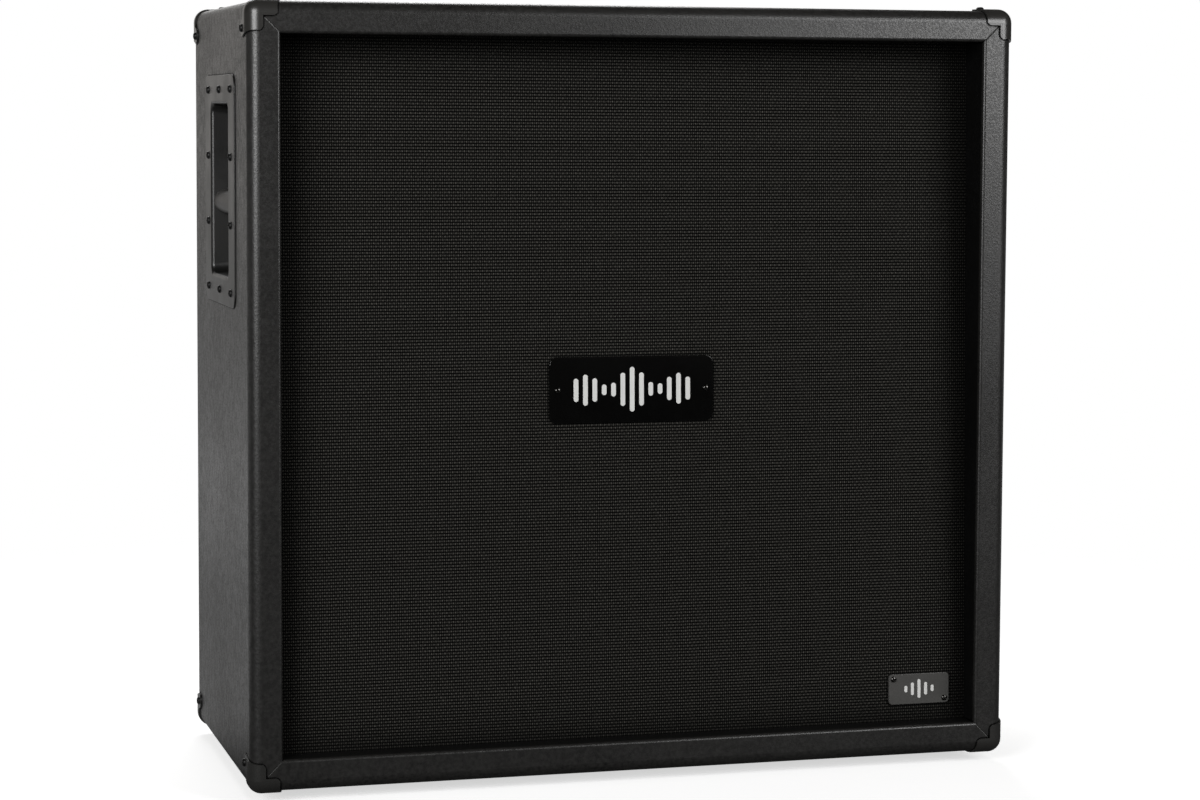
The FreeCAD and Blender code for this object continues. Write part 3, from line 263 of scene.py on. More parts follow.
def pebble_group():
    """Embossed leather grain: rounded pebbles with creased valleys, Height and Valley from 0 to 1."""
    inputs = [("Vector", VECTOR, None), ("Pebbles", FLOAT, 800.0)]
    tree, given, out = new_group("Pebble Grain", inputs, [("Height", FLOAT), ("Valley", FLOAT)])
    drift = put(tree, "ShaderNodeTexNoise", {"Vector": given["Vector"], "Detail": 2.0,
                                             "Scale": maths(tree, "MULTIPLY", given["Pebbles"], 0.4)})
    bend = put(tree, "ShaderNodeVectorMath", {0: drift.outputs[1], 1: (0.5, 0.5, 0.5)},
               operation="SUBTRACT")
    step = put(tree, "ShaderNodeVectorMath", {0: bend.outputs[0],
                                              "Scale": maths(tree, "DIVIDE", 0.9, given["Pebbles"])},
               operation="SCALE")
    place = put(tree, "ShaderNodeVectorMath", {0: given["Vector"], 1: step.outputs[0]}, operation="ADD")
    cells = put(tree, "ShaderNodeTexVoronoi", {"Vector": place.outputs[0], "Scale": given["Pebbles"],
                                               "Smoothness": 0.35, "Randomness": 0.95},
                feature="SMOOTH_F1")
    fine = put(tree, "ShaderNodeTexNoise", {"Vector": given["Vector"], "Detail": 3.0,
                                            "Scale": maths(tree, "MULTIPLY", given["Pebbles"], 2.6)})
    mound = spread(tree, cells.outputs["Distance"], 0.15, 0.75, 1.0, 0.0)
    height = maths(tree, "MULTIPLY_ADD", fine.outputs[0], 0.35, mound)
    wire(tree, height, out["Height"])
    wire(tree, spread(tree, cells.outputs["Distance"], 0.35, 0.75), out["Valley"])
    return tree


def mottle_group():
    """Slow and fine unevenness of a moulded, painted or cast surface, each from 0 to 1."""
    inputs = [("Vector", VECTOR, None), ("Patches", FLOAT, 12.0), ("Specks", FLOAT, 600.0)]
    tree, given, out = new_group("Surface Mottle", inputs, [("Slow", FLOAT), ("Fine", FLOAT)])
    slow = put(tree, "ShaderNodeTexNoise", {"Vector": given["Vector"], "Scale": given["Patches"],
                                            "Detail": 5.0, "Roughness": 0.6})
    fine = put(tree, "ShaderNodeTexNoise", {"Vector": given["Vector"], "Scale": given["Specks"],
                                            "Detail": 3.0})
    wire(tree, spread(tree, slow.outputs[0], 0.3, 0.7), out["Slow"])
    wire(tree, spread(tree, fine.outputs[0], 0.25, 0.75), out["Fine"])
    return tree


def weave_group():
    """Plain weave in the X and Z plane: Height, the yarns' Tops and the open Holes, each from 0 to 1."""
    inputs = [("Vector", VECTOR, None), ("Across", FLOAT, 0.002), ("Up", FLOAT, 0.002)]
    outputs = [("Height", FLOAT), ("Tops", FLOAT), ("Holes", FLOAT)]
    tree, given, out = new_group("Plain Weave", inputs, outputs)
    place = put(tree, "ShaderNodeSeparateXYZ", {0: given["Vector"]}).outputs
    waves = []
    for axis, spacing in (("X", "Across"), ("Z", "Up")):
        turns = maths(tree, "DIVIDE", place[axis], given[spacing])
        waves.append(maths(tree, "SINE", maths(tree, "MULTIPLY", turns, math.pi)))
    over = maths(tree, "MULTIPLY", waves[0], waves[1])
    upright = maths(tree, "ABSOLUTE", waves[0])
    level = maths(tree, "ABSOLUTE", waves[1])
    weft_top = spread(tree, over, -0.12, 0.12)
    weft, warp = (maths(tree, "MULTIPLY", maths(tree, "POWER", crown, 0.6),
                        spread(tree, along, 0.0, 1.0, 0.45, 1.0))
                  for crown, along in ((level, upright), (upright, level)))
    height = put(tree, "ShaderNodeMix", {0: weft_top, 2: warp, 3: weft}, data_type="FLOAT").outputs[0]
    wire(tree, height, out["Height"])
    tops = maths(tree, "MULTIPLY", spread(tree, level, 0.40, 0.97), spread(tree, upright, 0.20, 0.90))
    wire(tree, maths(tree, "MULTIPLY", tops, spread(tree, over, -0.5, 0.5, 0.5, 1.0)), out["Tops"])
    wire(tree, spread(tree, maths(tree, "MAXIMUM", upright, level), 0.25, 0.6, 1.0, 0.0), out["Holes"])
    return tree


def wood_group():
    """Growth rings and pores of timber cut along X, as a Figure and pores' Height from 0 to 1."""
    inputs = [("Vector", VECTOR, None), ("Rings", FLOAT, 60.0)]
    tree, given, out = new_group("Wood Figure", inputs, [("Figure", FLOAT), ("Height", FLOAT)])
    stretch = put(tree, "ShaderNodeMapping", {"Vector": given["Vector"],
                                              "Scale": (0.06, 1.0, 1.0)}).outputs[0]
    rings = put(tree, "ShaderNodeTexNoise", {"Vector": stretch, "Scale": given["Rings"], "Detail": 4.0,
                                             "Distortion": 0.6})
    pores = put(tree, "ShaderNodeTexNoise", {"Vector": stretch, "Detail": 2.0,
                                             "Scale": maths(tree, "MULTIPLY", given["Rings"], 22.0)})
    bands = maths(tree, "SINE", maths(tree, "MULTIPLY", rings.outputs[0], 40.0))
    figure = maths(tree, "MULTIPLY_ADD", pores.outputs[0], 0.4, spread(tree, bands, -1.0, 1.0, 0.0, 0.6))
    wire(tree, figure, out["Figure"])
    wire(tree, spread(tree, pores.outputs[0], 0.3, 0.6), out["Height"])
    return tree


def group(tree, maker, inputs):
    """Places a shared effect in a material, and builds it the first time."""
    if maker not in GROUPS:
        GROUPS[maker] = maker()
    return put(tree, "ShaderNodeGroup", inputs, node_tree=GROUPS[maker]).outputs


def new_material(name, **constants):
    """A material with its Principled shader, whose plain values sit on the shader's own sockets."""
    material = bpy.data.materials.new(name)
    material.use_nodes = True
    tree = material.node_tree
    shader = tree.nodes["Principled BSDF"]
    for label, value in constants.items():
        shader.inputs[label.replace("_", " ")].default_value = value
    place = tree.nodes.new("ShaderNodeTexCoord").outputs["Object"]
    return material, tree, shader.inputs, place


def emboss(tree, target, height, depth):
    """Bumps a surface by a height from 0 to 1 that stands for a depth in metres."""
    bump = put(tree, "ShaderNodeBump", {"Height": height, "Distance": depth, "Strength": 1.0})
    wire(tree, bump.outputs[0], target["Normal"])


# Materials

def moulded(name, dark, light, rough, patches=14.0, specks=700.0, depth=0.00004, **constants):
    """Plastic, paint, rubber or cast metal: slow colour drift and a fine skin that breaks up the gloss."""
    material, tree, target, place = new_material(name, **constants)
    mottle = group(tree, mottle_group, {"Vector": place, "Patches": patches, "Specks": specks})
    share = maths(tree, "MULTIPLY_ADD", mottle["Fine"], 0.35, maths(tree, "MULTIPLY", mottle["Slow"], 0.65))
    wire(tree, mix_colour(tree, share, dark, light), target["Base Color"])
    wire(tree, spread(tree, share, 0.0, 1.0, rough[0], rough[1]), target["Roughness"])
    emboss(tree, target, mottle["Fine"], depth)
    return material


def timber(name, dark, light, rings, turn=(0.0, 0.0, 0.0), rough=0.6, depth=0.00008):
    """Bare or thinly painted wood, with its grain turned to run along the piece."""
    material, tree, target, place = new_material(name, Specular_IOR_Level=0.3)
    along = put(tree, "ShaderNodeMapping", {"Vector": place, "Rotation": turn}).outputs[0]
    wood = group(tree, wood_group, {"Vector": along, "Rings": rings})
    wire(tree, mix_colour(tree, wood["Figure"], dark, light), target["Base Color"])
    wire(tree, spread(tree, wood["Figure"], 0.0, 1.0, rough + 0.1, rough - 0.06), target["Roughness"])
    emboss(tree, target, wood["Height"], depth)
    return material


def woven(name, dark, light, across, up, rough=0.8, depth=0.0002):
    """Stiffened cloth of the loudspeakers."""
    material, tree, target, place = new_material(name, Specular_IOR_Level=0.2)
    weave = group(tree, weave_group, {"Vector": place, "Across": across, "Up": up})
    wire(tree, mix_colour(tree, weave["Height"], dark, light), target["Base Color"])
    wire(tree, spread(tree, weave["Height"], 0.0, 1.0, rough + 0.1, rough - 0.1), target["Roughness"])
    emboss(tree, target, weave["Height"], depth)
    return material


def plated(name, dark, light, rough, scratches=(1200.0, 60.0, 1200.0)):
    """Bare or plated metal with fine drawn marks."""
    material, tree, target, place = new_material(name, Metallic=1.0)
    drawn = put(tree, "ShaderNodeMapping", {"Vector": place, "Scale": scratches}).outputs[0]
    marks = put(tree, "ShaderNodeTexNoise", {"Vector": drawn, "Scale": 1.0, "Detail": 3.0}).outputs[0]
    mottle = group(tree, mottle_group, {"Vector": place, "Patches": 25.0, "Specks": 500.0})
    wire(tree, mix_colour(tree, mottle["Slow"], dark, light), target["Base Color"])
    wire(tree, spread(tree, marks, 0.25, 0.75, rough[0], rough[1]), target["Roughness"])
    emboss(tree, target, marks, 0.00002)
    return material


def wound_copper():
    """Fine turns of wire round the voice coil's former."""
    material, tree, target, place = new_material("Voice Coil Winding", Metallic=1.0)
    turns = put(tree, "ShaderNodeTexWave", {"Vector": place, "Scale": 900.0, "Distortion": 0.4},
                bands_direction="Y").outputs["Fac"]
    wire(tree, mix_colour(tree, turns, (0.30, 0.13, 0.05), (0.62, 0.34, 0.17)), target["Base Color"])
    wire(tree, spread(tree, turns, 0.0, 1.0, 0.5, 0.28), target["Roughness"])
    emboss(tree, target, turns, 0.0001)
    return material


def recess_shade_share(tree, place):
    """1 on the front recess's walls, where shade is painted near black behind the covering's turned edge,
    else 0.
    """
    low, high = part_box("vinyl_covering")
    at = put(tree, "ShaderNodeSeparateXYZ", {0: place}).outputs
    edge = low[1] + RECESS_SHADE_START
    deep = maths(tree, "MULTIPLY", spread(tree, at["Y"], edge, edge + RECESS_SHADE_EDGE),
                 spread(tree, at["Y"], *RECESS_SHADE_END, 1.0, 0.0))
    inside = (high[0] - low[0]) / 2 - CASE_WALL
    aside = maths(tree, "ABSOLUTE", at["X"])
    within = spread(tree, aside, inside, inside + RECESS_SHADE_EDGE, 1.0, 0.0)
    middle = (low[2] + high[2]) / 2
    rise = maths(tree, "ABSOLUTE", maths(tree, "SUBTRACT", at["Z"], middle))
    inside = (high[2] - low[2]) / 2 - CASE_WALL
    between = spread(tree, rise, inside, inside + RECESS_SHADE_EDGE, 1.0, 0.0)
    return maths(tree, "MULTIPLY", deep, maths(tree, "MULTIPLY", within, between))


def side_grain(tree, place):
    """Uneven gloss of the covering over the case's sides, which shows at a flat angle, from 0 to 1."""
    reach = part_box("vinyl_covering")[1][0]
    aside = maths(tree, "ABSOLUTE", put(tree, "ShaderNodeSeparateXYZ", {0: place}).outputs["X"])
    start, full = (reach - inward for inward in SIDE_GRAIN_START)
    drawn = put(tree, "ShaderNodeMapping", {"Vector": place, "Scale": SIDE_GRAIN_SCALE}).outputs[0]
    marks = put(tree, "ShaderNodeTexNoise", {"Vector": drawn, "Scale": 1.0, "Detail": 5.0}).outputs[0]
    return maths(tree, "MULTIPLY", spread(tree, aside, start, full), spread(tree, marks, 0.35, 0.65))


def vinyl(looks):
    """Embossed covering with rubbed patches and specks, and painted shade: near black in its crevices and on
    the front recess's walls.
    """
    material, tree, target, place = new_material("Pebbled Black Vinyl", Specular_IOR_Level=0.7)
    grain = group(tree, pebble_group, {"Vector": place, "Pebbles": 1.0 / looks.pebble})
    mottle = group(tree, mottle_group, {"Vector": place, "Patches": 7.0, "Specks": 260.0})
    colour = mix_colour(tree, grain["Valley"], looks.vinyl_colour, looks.vinyl_valley)
    colour = mix_colour(tree, maths(tree, "MULTIPLY", mottle["Slow"], RUBBED_SHARE), colour, RUBBED_VINYL)
    colour = mix_colour(tree, maths(tree, "MULTIPLY", mottle["Fine"], SPECK_SHARE), colour, VINYL_SPECKS)
    # Painted shade: the covering turns near black, metallic and rougher in crevices, and near black on the
    # front recess's walls, so that these show little light or reflection
    crevice_shade = spread(tree, openness(tree, CREVICE_SHADE_REACH), *CREVICE_SHADE_SPAN, 1.0, 0.0)
    black = maths(tree, "MAXIMUM", recess_shade_share(tree, place), crevice_shade)
    wire(tree, mix_colour(tree, black, colour, CREVICE_SHADE_COLOUR), target["Base Color"])
    wire(tree, crevice_shade, target["Metallic"])
    rough = spread(tree, grain["Valley"], 0.0, 1.0, *VINYL_GLOSS)
    rough = maths(tree, "MULTIPLY_ADD", mottle["Slow"], PATCH_ROUGHNESS, rough)
    rough = maths(tree, "MULTIPLY_ADD", side_grain(tree, place), SIDE_GRAIN_ROUGHNESS, rough)
    wire(tree, maths(tree, "MULTIPLY_ADD", crevice_shade, CREVICE_SHADE_ROUGHNESS, rough), target["Roughness"])
    emboss(tree, target, grain["Height"], VINYL_RELIEF)
    return material


def grille_weave(looks):
    """Woven grille cloth with worn yarn tops, dark holes and painted shade that dims the tops towards its
    edges.
    """
    material, tree, target, place = new_material("Black Grille Weave", Specular_IOR_Level=0.05)
    weave = group(tree, weave_group, {"Vector": place, "Across": looks.yarn_across, "Up": looks.yarn_up})
    mottle = group(tree, mottle_group, {"Vector": place, "Patches": 9.0, "Specks": 900.0})
    fuzz = maths(tree, "MULTIPLY", weave["Tops"], spread(tree, mottle["Fine"], 0.0, 1.0, 0.55, 1.0))
    # Painted shade: the yarn tops dim where the recess's walls stand near
    edges = spread(tree, openness(tree, CLOTH_SHADE_REACH), *CLOTH_CORNER_SHADE)
    fuzz = maths(tree, "MULTIPLY", fuzz, edges)
    yarn = mix_colour(tree, fuzz, looks.cloth_colour, looks.yarn_top_colour)
    wire(tree, mix_colour(tree, weave["Holes"], yarn, CLOTH_HOLE), target["Base Color"])
    wire(tree, spread(tree, weave["Height"], 0.0, 1.0, 0.95, 0.7), target["Roughness"])
    emboss(tree, target, weave["Height"], CLOTH_RELIEF)
    return material


def paint(material, *names):
    """Gives CAD nodes a material."""
    for name in names:
        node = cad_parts[name]
        if not node.material_slots:
            node.data.materials.append(material)
        for slot in node.material_slots:
            slot.material = material


# Modelling helpers

def clear_selection():
    """Leaves edit mode and selects nothing."""
    if bpy.context.mode != "OBJECT":
        bpy.ops.object.mode_set(mode="OBJECT")
    for each in bpy.context.selected_objects:
        each.select_set(False)


def upright_box(node):
    """Middle, width, depth and height that a node on the leaning baffle has before it leans."""
    low, high = (Vector(corner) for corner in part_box(node))
    size = high - low
    sine, cosine = math.sin(BAFFLE_LEAN), math.cos(BAFFLE_LEAN)
    share = cosine ** 2 - sine ** 2
    deep = (size.y * cosine - size.z * sine) / share
    tall = (size.z * cosine - size.y * sine) / share
    return (low + high) / 2, size.x, deep, tall


def settle(piece, name, material, pivot):
    """Names an upright piece, leans it back with the baffle about a pivot and fixes it to the case."""
    clear_selection()
    piece.select_set(True)
    bpy.context.view_layer.objects.active = piece
    bpy.ops.object.transform_apply(location=True, rotation=True, scale=True)
    turn = Matrix.Rotation(-BAFFLE_LEAN, 4, "X")
    piece.data.transform(Matrix.Translation(pivot) @ turn @ Matrix.Translation(-pivot))
    piece.name = name
    piece.data.name = name
    piece.data.materials.clear()
    piece.data.materials.append(material)
    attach(piece, CASE)
    return piece


def rounded_bar(middle, width, height, relief):
    """One flat bar with round ends that lies on a badge's face and points to the front."""
    clear_selection()
    bpy.ops.mesh.primitive_cube_add(size=1.0, location=middle)
    bar = bpy.context.object
    bar.scale = (width, relief, height)
    bpy.ops.object.transform_apply(location=False, rotation=False, scale=True)
    bpy.ops.object.mode_set(mode="EDIT")
    bpy.ops.mesh.select_all(action="DESELECT")
    mesh = bmesh.from_edit_mesh(bar.data)
    for edge in mesh.edges:
        first, second = (v.co for v in edge.verts)
        edge.select_set(abs(first.y - second.y) > relief / 2)
    bmesh.update_edit_mesh(bar.data)
    bpy.ops.mesh.bevel(offset=min(width, height) * BAR_ROUNDING, segments=BAR_SEGMENTS, affect="EDGES")
    bpy.ops.mesh.select_all(action="DESELECT")
    mesh = bmesh.from_edit_mesh(bar.data)
    for face in mesh.faces:
        if face.normal.y < -0.9:
            face.select_set(True)
    bmesh.update_edit_mesh(bar.data)
    bpy.ops.mesh.inset(thickness=relief * BAR_INSET, depth=0.0)
    bpy.ops.transform.translate(value=(0.0, -relief * BAR_CROWN, 0.0))
    bpy.ops.object.mode_set(mode="OBJECT")
    return bar


def join(pieces):
    """Makes several objects one."""
    clear_selection()
    for piece in pieces:
        piece.select_set(True)
    bpy.context.view_layer.objects.active = pieces[0]
    bpy.ops.object.join()
    return bpy.context.object


# Operators

class CABINET_OT_case(bpy.types.Operator):
    """Finishes the covering, the boards and the battens"""

    bl_idname = "speaker_cabinet.case"
    bl_label = "Case and Covering"

    def execute(self, context):
        looks = context.scene.cabinet_looks
        paint(vinyl(looks), "vinyl_covering")
        birch = ((0.42, 0.29, 0.17), (0.68, 0.53, 0.35))
        upright = (0.0, math.pi / 2, 0.0)
        paint(timber("Birch Plywood", *birch, 45.0), "top_panel", "bottom_panel", "front_rails")
        paint(timber("Birch Plywood Upright", *birch, 45.0, upright), "left_side_panel", "right_side_panel")
        pine = ((0.50, 0.34, 0.17), (0.74, 0.58, 0.36))
        paint(timber("Planed Softwood", *pine, 80.0), "baffle_battens", "rear_battens")
        paint(timber("Planed Brace", *pine, 80.0, (0.0, 0.0, math.pi / 2)), "centre_brace")
        black = ((0.010, 0.010, 0.010), (0.022, 0.021, 0.020))
        paint(timber("Black Painted Baffle", *black, 50.0), "baffle_board")
        paint(timber("Black Painted Back", *black, 50.0, rough=0.55), "back_panel")
        return {"FINISHED"}


class CABINET_OT_grille_cloth(bpy.types.Operator):
    """Makes the woven cloth stretched over the baffle"""

    bl_idname = "speaker_cabinet.grille_cloth"
    bl_label = "Grille Cloth"

    def execute(self, context):
        looks = context.scene.cabinet_looks
        middle, wide, deep, tall = upright_box("grille_cloth")
        clear_selection()
        bpy.ops.mesh.primitive_grid_add(x_subdivisions=CLOTH_COLUMNS, y_subdivisions=CLOTH_ROWS, size=1.0,
                                        location=middle - Vector((0.0, deep / 2, 0.0)),
                                        rotation=(math.pi / 2, 0.0, 0.0))
        cloth = bpy.context.object
        cloth.scale = (wide, tall, 1.0)
        bpy.ops.object.transform_apply(location=True, rotation=True, scale=True)
        self.sink(cloth, looks.cloth_dip)
        turn = deep * CLOTH_TURN_SHARE
        self.turn_edges(cloth, turn)
        wall = cloth.modifiers.new("Cloth Thickness", "SOLIDIFY")
        wall.thickness = CLOTH_WALL
        wall.offset = -1.0
        bpy.ops.object.modifier_apply(modifier=wall.name)
        bpy.ops.object.shade_smooth_by_angle(angle=math.radians(40))
        settle(cloth, "grille_cloth_sheet", grille_weave(looks), middle)
        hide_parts("grille_cloth")
        return {"FINISHED"}

    def sink(self, cloth, dip):
        """Lets the cloth sink a little where the baffle is open behind it."""
        openings = []
        for speaker in SPEAKERS:
            near, far = (Vector(corner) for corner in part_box(speaker + "_surround"))
            openings.append(((near.x + far.x) / 2, (near.z + far.z) / 2, (far.x - near.x) / 2))
        for vertex in cloth.data.vertices:
            for x, z, radius in openings:
                inside = 1.0 - math.hypot(vertex.co.x - x, vertex.co.z - z) / radius
                if inside > 0:
                    ease = min(1.0, inside / CLOTH_DIP_EASE)
                    vertex.co.y += dip * ease * ease * (3.0 - 2.0 * ease)

    def turn_edges(self, cloth, depth):
        """Folds the cloth's four edges back round the baffle."""
        mesh = bmesh.new()
        mesh.from_mesh(cloth.data)
        rim = [edge for edge in mesh.edges if edge.is_boundary]
        made = bmesh.ops.extrude_edge_only(mesh, edges=rim)["geom"]
        points = [each for each in made if isinstance(each, bmesh.types.BMVert)]
        bmesh.ops.translate(mesh, verts=points, vec=(0.0, depth, 0.0))
        mesh.to_mesh(cloth.data)
        mesh.free()


class CABINET_OT_badges(bpy.types.Operator):
    """Finishes the two badge plates and lays a plain motif on each"""

    bl_idname = "speaker_cabinet.badges"
    bl_label = "Badges"

    def execute(self, context):
        looks = context.scene.cabinet_looks
        gloss = moulded("Polished Black Badge", (0.0018, 0.0018, 0.0018), (0.0030, 0.0030, 0.0030),
                        (0.06, 0.12), depth=0.000004)
        satin = moulded("Satin Dark Badge", (0.060, 0.059, 0.056), (0.082, 0.080, 0.076), (0.34, 0.44),
                        depth=0.00001)
        paint(gloss, "main_badge")
        paint(satin, "corner_badge")
        shaded = tuple(0.9 * part for part in looks.motif_colour)
        pale = moulded("Pale Motif Inlay", shaded, tuple(looks.motif_colour), (0.35, 0.45), depth=0.00001)
        step = WAVE_SPAN / looks.motif_bars
        wave = self.wave_heights(looks.motif_bars, step)
        self.lay_motif("main_badge", "gloss_badge", pale, wave, step, step * WAVE_BAR_SHARE,
                       looks.motif_relief)
        self.lay_motif("corner_badge", "satin_badge", pale, CORNER_HEIGHTS, CORNER_STEP, CORNER_BAR,
                       looks.motif_relief)
        return {"FINISHED"}

    def wave_heights(self, count, step):
        """Heights of the main badge's bars, as shares of its height."""
        heights = []
        for i in range(count):
            across = (i - (count - 1) / 2) * step
            swell = 0.5 + 0.5 * math.cos(2.0 * math.pi * across / WAVE_LENGTH)
            heights.append(WAVE_LOW + WAVE_RISE * swell * math.cos(math.pi * across))
        return heights

    def lay_motif(self, plate, slot, material, heights, step, width, relief):
        """Lays upright bars side by side on a plate, in shares of its height and width."""
        middle, wide, deep, tall = upright_box(plate)
        face = middle.y - deep / 2 - relief / 2
        bars = []
        for i, height in enumerate(heights):
            across = (i - (len(heights) - 1) / 2) * step * wide
            bars.append(rounded_bar((middle.x + across, face, middle.z), width * wide, height * tall, relief))
        settle(join(bars), plate + "_motif", material, middle)


class CABINET_OT_hardware(bpy.types.Operator):
    """Finishes the corner protectors, screws, handles and feet"""

    bl_idname = "speaker_cabinet.hardware"
    bl_label = "Corners, Screws, Handles and Feet"

    def execute(self, context):
        corner = moulded("Moulded Corner Plastic", (0.020, 0.020, 0.019), (0.029, 0.028, 0.026),
                         (0.25, 0.33), specks=900.0, depth=0.00001, Specular_IOR_Level=0.9)
        oxide = moulded("Black Oxide Screws", (0.004, 0.004, 0.004), (0.008, 0.008, 0.008), (0.34, 0.48),
                        patches=120.0, depth=0.00001, Metallic=0.4)
        pressed = moulded("Black Satin Paint", (0.006, 0.006, 0.006), (0.010, 0.010, 0.009), (0.30, 0.40),
                          specks=900.0, depth=0.00002, Specular_IOR_Level=0.75)
        grip = moulded("Moulded Grip", (0.050, 0.048, 0.046), (0.070, 0.067, 0.063), (0.42, 0.52))
        rubber = moulded("Foot Rubber", (0.012, 0.012, 0.012), (0.024, 0.023, 0.022), (0.7, 0.85),
                         depth=0.00006)
        polished = plated("Polished Dark Screws", (0.080, 0.080, 0.078), (0.130, 0.127, 0.122), (0.10, 0.18))
        paint(corner, "corner_protectors")
        paint(oxide, "case_screws", "board_screws", "speaker_bolts")
        paint(polished, "badge_screws")
        paint(pressed, "left_handle_dish", "right_handle_dish")
        paint(grip, "left_handle_grip", "right_handle_grip")
        paint(rubber, "rubber_feet")
        return {"FINISHED"}


class CABINET_OT_jack_panel(bpy.types.Operator):
    """Finishes the jack plate, jacks and nuts on the back"""

    bl_idname = "speaker_cabinet.jack_panel"
    bl_label = "Jack Panel"

    def execute(self, context):
        plate = moulded("Jack Plate Paint", (0.020, 0.020, 0.020), (0.032, 0.031, 0.030), (0.36, 0.48),
                        depth=0.00003)
        body = moulded("Jack Body", (0.010, 0.010, 0.010), (0.020, 0.020, 0.020), (0.4, 0.55), depth=0.00002)
        nickel = plated("Nickel Nuts", (0.52, 0.50, 0.46), (0.66, 0.63, 0.58), (0.16, 0.32))
        paint(plate, "jack_plate")
        paint(body, "input_jack", "parallel_jack")
        paint(nickel, "jack_nuts")
        return {"FINISHED"}


class CABINET_OT_speakers(bpy.types.Operator):
    """Finishes the loudspeakers and their leads"""

    bl_idname = "speaker_cabinet.speakers"
    bl_label = "Loudspeakers and Leads"

    def execute(self, context):
        pulp = moulded("Pressed Cone Paper", (0.022, 0.020, 0.018), (0.060, 0.056, 0.050), (0.75, 0.92),
                       patches=60.0, specks=1400.0, depth=0.0002, Specular_IOR_Level=0.2)
        cap = moulded("Dust Cap Paper", (0.018, 0.017, 0.016), (0.045, 0.043, 0.040), (0.7, 0.88),
                      patches=90.0, specks=1400.0, depth=0.0001, Specular_IOR_Level=0.2)
        roll = woven("Doped Surround Cloth", (0.010, 0.010, 0.010), (0.030, 0.029, 0.028), 0.0009, 0.0009,
                     rough=0.55)
        spider = woven("Resin Dipped Cloth", (0.22, 0.13, 0.04), (0.50, 0.34, 0.15), 0.0008, 0.0008)
        frame_paint = moulded("Basket Paint", (0.030, 0.030, 0.031), (0.046, 0.046, 0.047), (0.35, 0.5))
        ferrite = moulded("Sintered Ferrite", (0.030, 0.030, 0.032), (0.065, 0.064, 0.066), (0.6, 0.75),
                          patches=40.0, specks=800.0, depth=0.00008)
        zinc = plated("Zinc Plated Steel", (0.42, 0.38, 0.27), (0.56, 0.53, 0.47), (0.28, 0.45))
        gasket = moulded("Gasket Board", (0.030, 0.026, 0.020), (0.070, 0.060, 0.048), (0.8, 0.92),
                         patches=150.0, specks=1200.0, depth=0.0001)
        board = moulded("Terminal Board", (0.16, 0.085, 0.035), (0.26, 0.15, 0.07), (0.4, 0.55), patches=80.0)
        sleeve = moulded("Lead Sleeve", (0.012, 0.012, 0.012), (0.022, 0.022, 0.022), (0.45, 0.6))
        clip = moulded("Clip Plastic", (0.48, 0.48, 0.45), (0.58, 0.58, 0.55), (0.4, 0.52))
        coil = wound_copper()
        for speaker in SPEAKERS:
            paint(pulp, speaker + "_cone")
            paint(cap, speaker + "_dust_cap")
            paint(coil, speaker + "_voice_coil")
            paint(roll, speaker + "_surround")
            paint(spider, speaker + "_spider")
            paint(frame_paint, speaker + "_basket")
        paint(ferrite, "speaker_magnets")
        paint(zinc, "speaker_front_plates", "speaker_yokes")
        paint(gasket, "speaker_gaskets")
        paint(board, "speaker_terminals")
        paint(sleeve, "speaker_leads")
        paint(clip, "lead_clips")
        return {"FINISHED"}


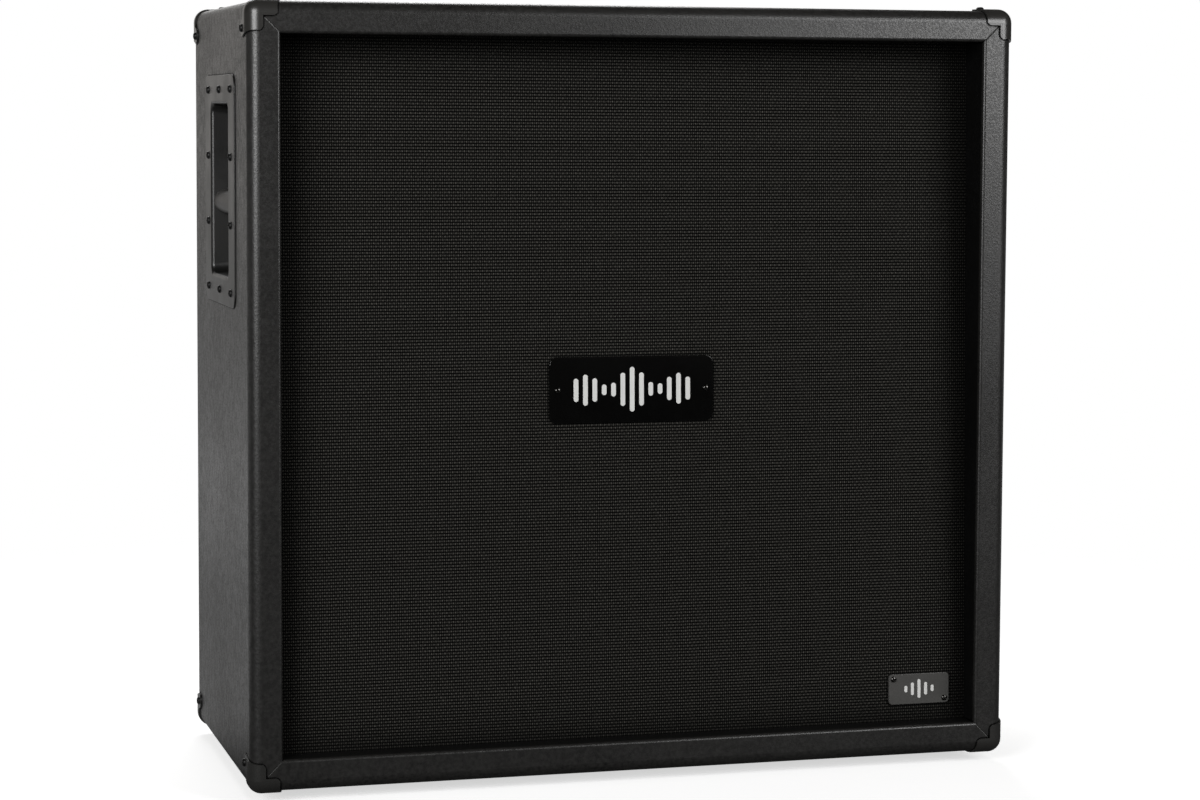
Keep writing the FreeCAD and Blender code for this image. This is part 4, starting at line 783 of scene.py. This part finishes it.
class CABINET_OT_stage(bpy.types.Operator):
    """Sets up the floor, the room light, the lamps and the camera"""

    bl_idname = "speaker_cabinet.stage"
    bl_label = "Studio"

    def execute(self, context):
        studio = context.scene.cabinet_studio
        self.floor(studio)
        self.room(context.scene, studio)
        for softbox in SOFTBOXES:
            self.lamp(*softbox)
        self.camera(context.scene, studio)
        context.scene.view_settings.view_transform = "Standard"
        return {"FINISHED"}

    def floor(self, studio):
        """A pale floor that fades to white in view, and whose front part is dark in reflections."""
        clear_selection()
        bpy.ops.mesh.primitive_plane_add(size=studio.floor_size, location=(0.0, 0.0, 0.0))
        floor = bpy.context.object
        floor.name = "studio_floor"
        material, tree, target, place = new_material("Pale Studio Floor", Roughness=0.9,
                                                     Specular_IOR_Level=0.0)
        along = put(tree, "ShaderNodeSeparateXYZ", {0: place}).outputs["Y"]
        shade = spread(tree, along, *FLOOR_FLAG_END)
        wire(tree, mix_colour(tree, shade, studio.flag_colour, studio.floor_colour), target["Base Color"])
        shader = tree.nodes["Principled BSDF"].outputs[0]
        pale = put(tree, "ShaderNodeBsdfDiffuse", {"Color": (*studio.floor_colour, 1.0)}).outputs[0]
        glow = put(tree, "ShaderNodeEmission", {"Color": WHITE, "Strength": FLOOR_GLOW}).outputs[0]
        white = put(tree, "ShaderNodeEmission", {"Color": WHITE, "Strength": 1.0}).outputs[0]
        near = put(tree, "ShaderNodeAddShader", {0: pale, 1: glow}).outputs[0]
        reach = put(tree, "ShaderNodeVectorMath", {0: place}, operation="LENGTH").outputs["Value"]
        fade = put(tree, "ShaderNodeMixShader", {0: spread(tree, reach, *FLOOR_FADE), 1: near, 2: white})
        mirror = spread(tree, along, *FLOOR_MIRROR_START, 0.0, studio.backdrop_gloss)
        shown = put(tree, "ShaderNodeMixShader", {0: self.seen(tree, mirror), 1: shader, 2: fade.outputs[0]})
        wire(tree, shown.outputs[0], tree.nodes["Material Output"].inputs["Surface"])
        floor.data.materials.append(material)

    def room(self, scene, studio):
        """White to the camera, and a dim room with a bright end behind the cabinet for everything else."""
        world = bpy.data.worlds.new("Studio Room")
        scene.world = world
        world.use_nodes = True
        tree = world.node_tree
        tree.nodes.clear()
        way = put(tree, "ShaderNodeTexCoord").outputs["Generated"]
        along = put(tree, "ShaderNodeSeparateXYZ", {0: way}).outputs["Y"]
        behind = spread(tree, along, *ROOM_BACK_START)
        level = spread(tree, behind, 0.0, 1.0, studio.room_front, studio.room_back)
        dim = put(tree, "ShaderNodeBackground", {"Color": ROOM_TINT, "Strength": level}).outputs[0]
        white = put(tree, "ShaderNodeBackground", {"Color": WHITE, "Strength": 1.0}).outputs[0]
        mirror = maths(tree, "MULTIPLY", behind, studio.backdrop_gloss)
        shown = put(tree, "ShaderNodeMixShader", {0: self.seen(tree, mirror), 1: dim, 2: white}).outputs[0]
        wire(tree, shown, put(tree, "ShaderNodeOutputWorld").inputs["Surface"])

    def seen(self, tree, mirror):
        """1 for what the camera sees straight or through glass, and a given share for what is mirrored."""
        rays = put(tree, "ShaderNodeLightPath").outputs
        mirrored = maths(tree, "MULTIPLY", rays["Is Glossy Ray"], mirror)
        clear = maths(tree, "MAXIMUM", rays["Is Camera Ray"], rays["Is Transmission Ray"])
        return maths(tree, "MAXIMUM", clear, mirrored)

    def lamp(self, name, place, aim, wide, tall, power):
        """A softbox of the given size that points from its place to its aim."""
        data = bpy.data.lights.new(name, "AREA")
        data.shape = "RECTANGLE"
        data.size = wide
        data.size_y = tall
        data.energy = power
        lamp = bpy.data.objects.new(name, data)
        bpy.context.collection.objects.link(lamp)
        lamp.location = place
        lamp.rotation_euler = (Vector(aim) - Vector(place)).to_track_quat("-Z", "Y").to_euler()

    def camera(self, scene, studio):
        """The camera at the photograph's viewing angle."""
        data = bpy.data.cameras.new("Photograph Camera")
        data.sensor_fit = "HORIZONTAL"
        data.sensor_width = FRAME_WIDTH
        data.lens = studio.lens
        data.shift_y = studio.shift_up
        data.clip_end = VIEW_END
        camera = bpy.data.objects.new("Photograph Camera", data)
        bpy.context.collection.objects.link(camera)
        yaw, pitch, roll = studio.camera_yaw, studio.camera_pitch, studio.camera_roll
        ahead = Vector((math.sin(yaw) * math.cos(pitch), math.cos(yaw) * math.cos(pitch), math.sin(pitch)))
        level = Vector((math.cos(yaw), -math.sin(yaw), 0.0))
        above = level.cross(ahead)
        right = math.cos(roll) * level + math.sin(roll) * above
        up = math.cos(roll) * above - math.sin(roll) * level
        turn = Matrix((right, up, -ahead)).transposed().to_4x4()
        camera.matrix_world = Matrix.Translation(studio.camera_place) @ turn
        scene.camera = camera


class CABINET_PT_looks(bpy.types.Panel):
    """Cabinet looks in the sidebar"""

    bl_idname = "CABINET_PT_looks"
    bl_label = "Speaker Cabinet"
    bl_space_type = "VIEW_3D"
    bl_region_type = "UI"
    bl_category = "Cabinet"

    def draw(self, context):
        for settings in (context.scene.cabinet_looks, context.scene.cabinet_studio):
            box = self.layout.box()
            for label in settings.bl_rna.properties.keys():
                if label not in ("rna_type", "name"):
                    box.prop(settings, label)
        for operator in OPERATORS:
            self.layout.operator(operator.bl_idname)


OPERATORS = (CABINET_OT_case, CABINET_OT_grille_cloth, CABINET_OT_badges, CABINET_OT_hardware,
             CABINET_OT_jack_panel, CABINET_OT_speakers, CABINET_OT_stage)
CLASSES = (CabinetLooks, StudioSettings, *OPERATORS, CABINET_PT_looks)


def register():
    for each in CLASSES:
        bpy.utils.register_class(each)
    bpy.types.Scene.cabinet_looks = bpy.props.PointerProperty(type=CabinetLooks)
    bpy.types.Scene.cabinet_studio = bpy.props.PointerProperty(type=StudioSettings)


def unregister():
    del bpy.types.Scene.cabinet_studio
    del bpy.types.Scene.cabinet_looks
    for each in reversed(CLASSES):
        bpy.utils.unregister_class(each)


def main():
    register()
    bpy.ops.speaker_cabinet.case()
    bpy.ops.speaker_cabinet.grille_cloth()
    bpy.ops.speaker_cabinet.badges()
    bpy.ops.speaker_cabinet.hardware()
    bpy.ops.speaker_cabinet.jack_panel()
    bpy.ops.speaker_cabinet.speakers()
    bpy.ops.speaker_cabinet.stage()
    bpy.context.view_layer.update()


if __name__ == "__main__":
    main()
